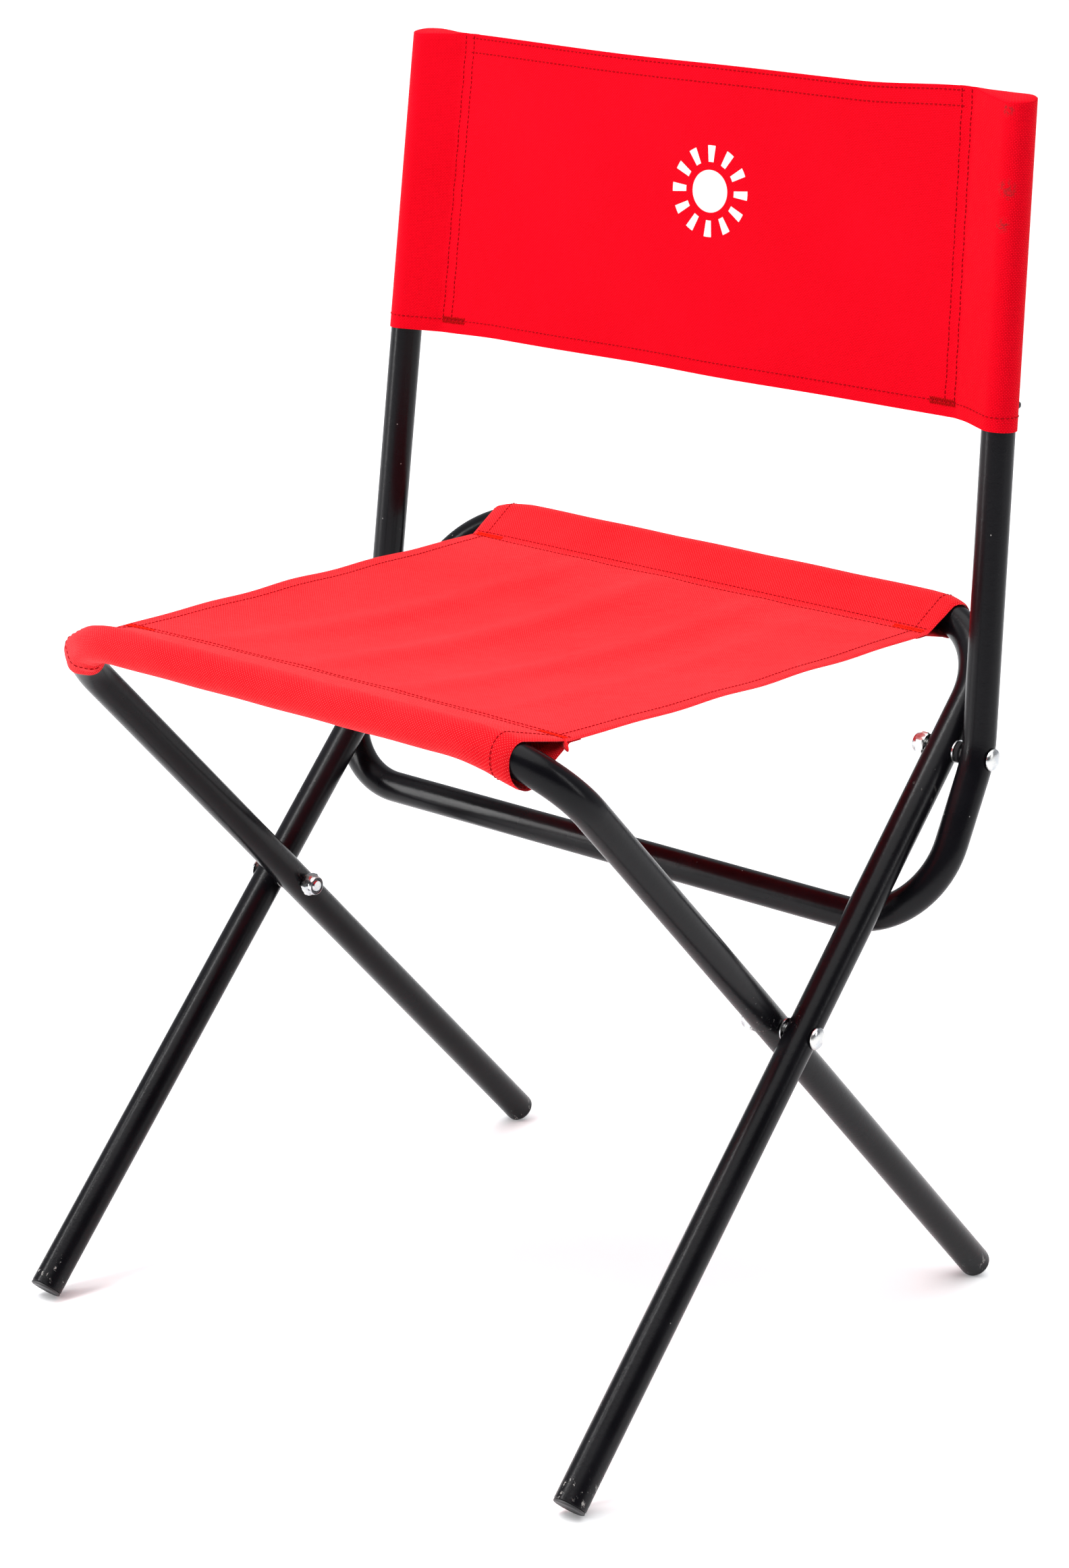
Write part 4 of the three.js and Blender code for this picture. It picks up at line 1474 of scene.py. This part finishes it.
def add_floor():
    size = FLOOR_HALF
    obj = new_object("floor", [(-size, -size, 0), (size, -size, 0), (size, size, 0), (-size, size, 0)],
                     [(0, 1, 2, 3)])
    n = Nodes("pale_floor")
    n.set(Base_Color=FLOOR_COLOUR, Roughness=0.9, Specular_IOR_Level=0.1)
    n.set(Emission_Color=WHITE, Emission_Strength=FLOOR_GLOW)
    obj.data.materials.append(n.material)
    obj.location.z = -FLOOR_DROP * MM


def add_world():
    """Plain white past the floor for the camera; what lights the chair is dimmer at the front."""
    n = Nodes("studio", bpy.data.worlds.new("studio"))
    heading = n.add("ShaderNodeTexCoord").outputs["Generated"]
    facing = n.add("ShaderNodeVectorMath", {0: heading, 1: (0.60, -0.75, 0.10)},
                   operation="DOT_PRODUCT")
    fade = n.ramp(facing.outputs["Value"], -0.35, 0.45)
    lighting = n.tree.nodes["Background"]
    n.put(lighting.inputs["Color"], n.mix(fade, LIGHT_BEHIND, LIGHT_IN_FRONT))
    seen = n.add("ShaderNodeBackground", {"Color": WHITE})
    path = n.add("ShaderNodeLightPath")
    choice = n.add("ShaderNodeMixShader", {0: path.outputs["Is Camera Ray"], 1: lighting, 2: seen})
    n.put(n.tree.nodes["World Output"].inputs["Surface"], choice)
    bpy.context.scene.world = n.material


def add_light(name, kind, energy, heading, place=(0, 0, 0)):
    light = bpy.data.lights.new(name, kind)
    light.energy = energy
    obj = bpy.data.objects.new(name, light)
    bpy.context.scene.collection.objects.link(obj)
    obj.location = Vector(place)
    obj.rotation_euler = Vector(heading).to_track_quat("-Z", "Y").to_euler()
    return light


def add_area(name, place, size, power):
    light = add_light(name, "AREA", power, Vector(LIGHT_AIM) - Vector(place), place)
    light.shape = "RECTANGLE"
    light.size, light.size_y = size


def add_lights():
    add_light("sky_panel", "SUN", 3.2, (-0.12, 0.10, -1)).angle = math.radians(75)
    add_area("left_box", (-2.3, -2.3, 1.3), (0.35, 2.4), 80)
    add_area("right_box", (2.8, 0.7, 1.6), (0.3, 2.0), 20)
    add_area("top_box", (-0.7, -1.2, 2.7), (0.25, 1.8), 50)


CAMERA = {
    "place": (1.38592, -1.69646, 1.00259),
    "yaw": 39.2695,
    "pitch": 16.8996,
    "roll": 1.7671,
    "lens": 86.641,
}


def add_camera():
    yaw, pitch, roll = (math.radians(CAMERA[k]) for k in ("yaw", "pitch", "roll"))
    forward = Vector((-math.sin(yaw) * math.cos(pitch), math.cos(yaw) * math.cos(pitch),
                      -math.sin(pitch)))
    right = Vector((math.cos(yaw), math.sin(yaw), 0))
    up = right.cross(forward)
    turned_right = right * math.cos(roll) + up * math.sin(roll)
    turned_up = up * math.cos(roll) - right * math.sin(roll)
    turn = Matrix((turned_right, turned_up, -forward)).transposed().to_4x4()
    camera = bpy.data.cameras.new("photo_view")
    camera.lens = CAMERA["lens"]
    camera.sensor_width = 36
    camera.clip_end = 100
    obj = bpy.data.objects.new("photo_view", camera)
    bpy.context.scene.collection.objects.link(obj)
    obj.matrix_world = Matrix.Translation(CAMERA["place"]) @ turn
    bpy.context.scene.camera = obj


add_floor()
add_world()
add_lights()
add_camera()
bpy.context.scene.view_settings.view_transform = "Standard"
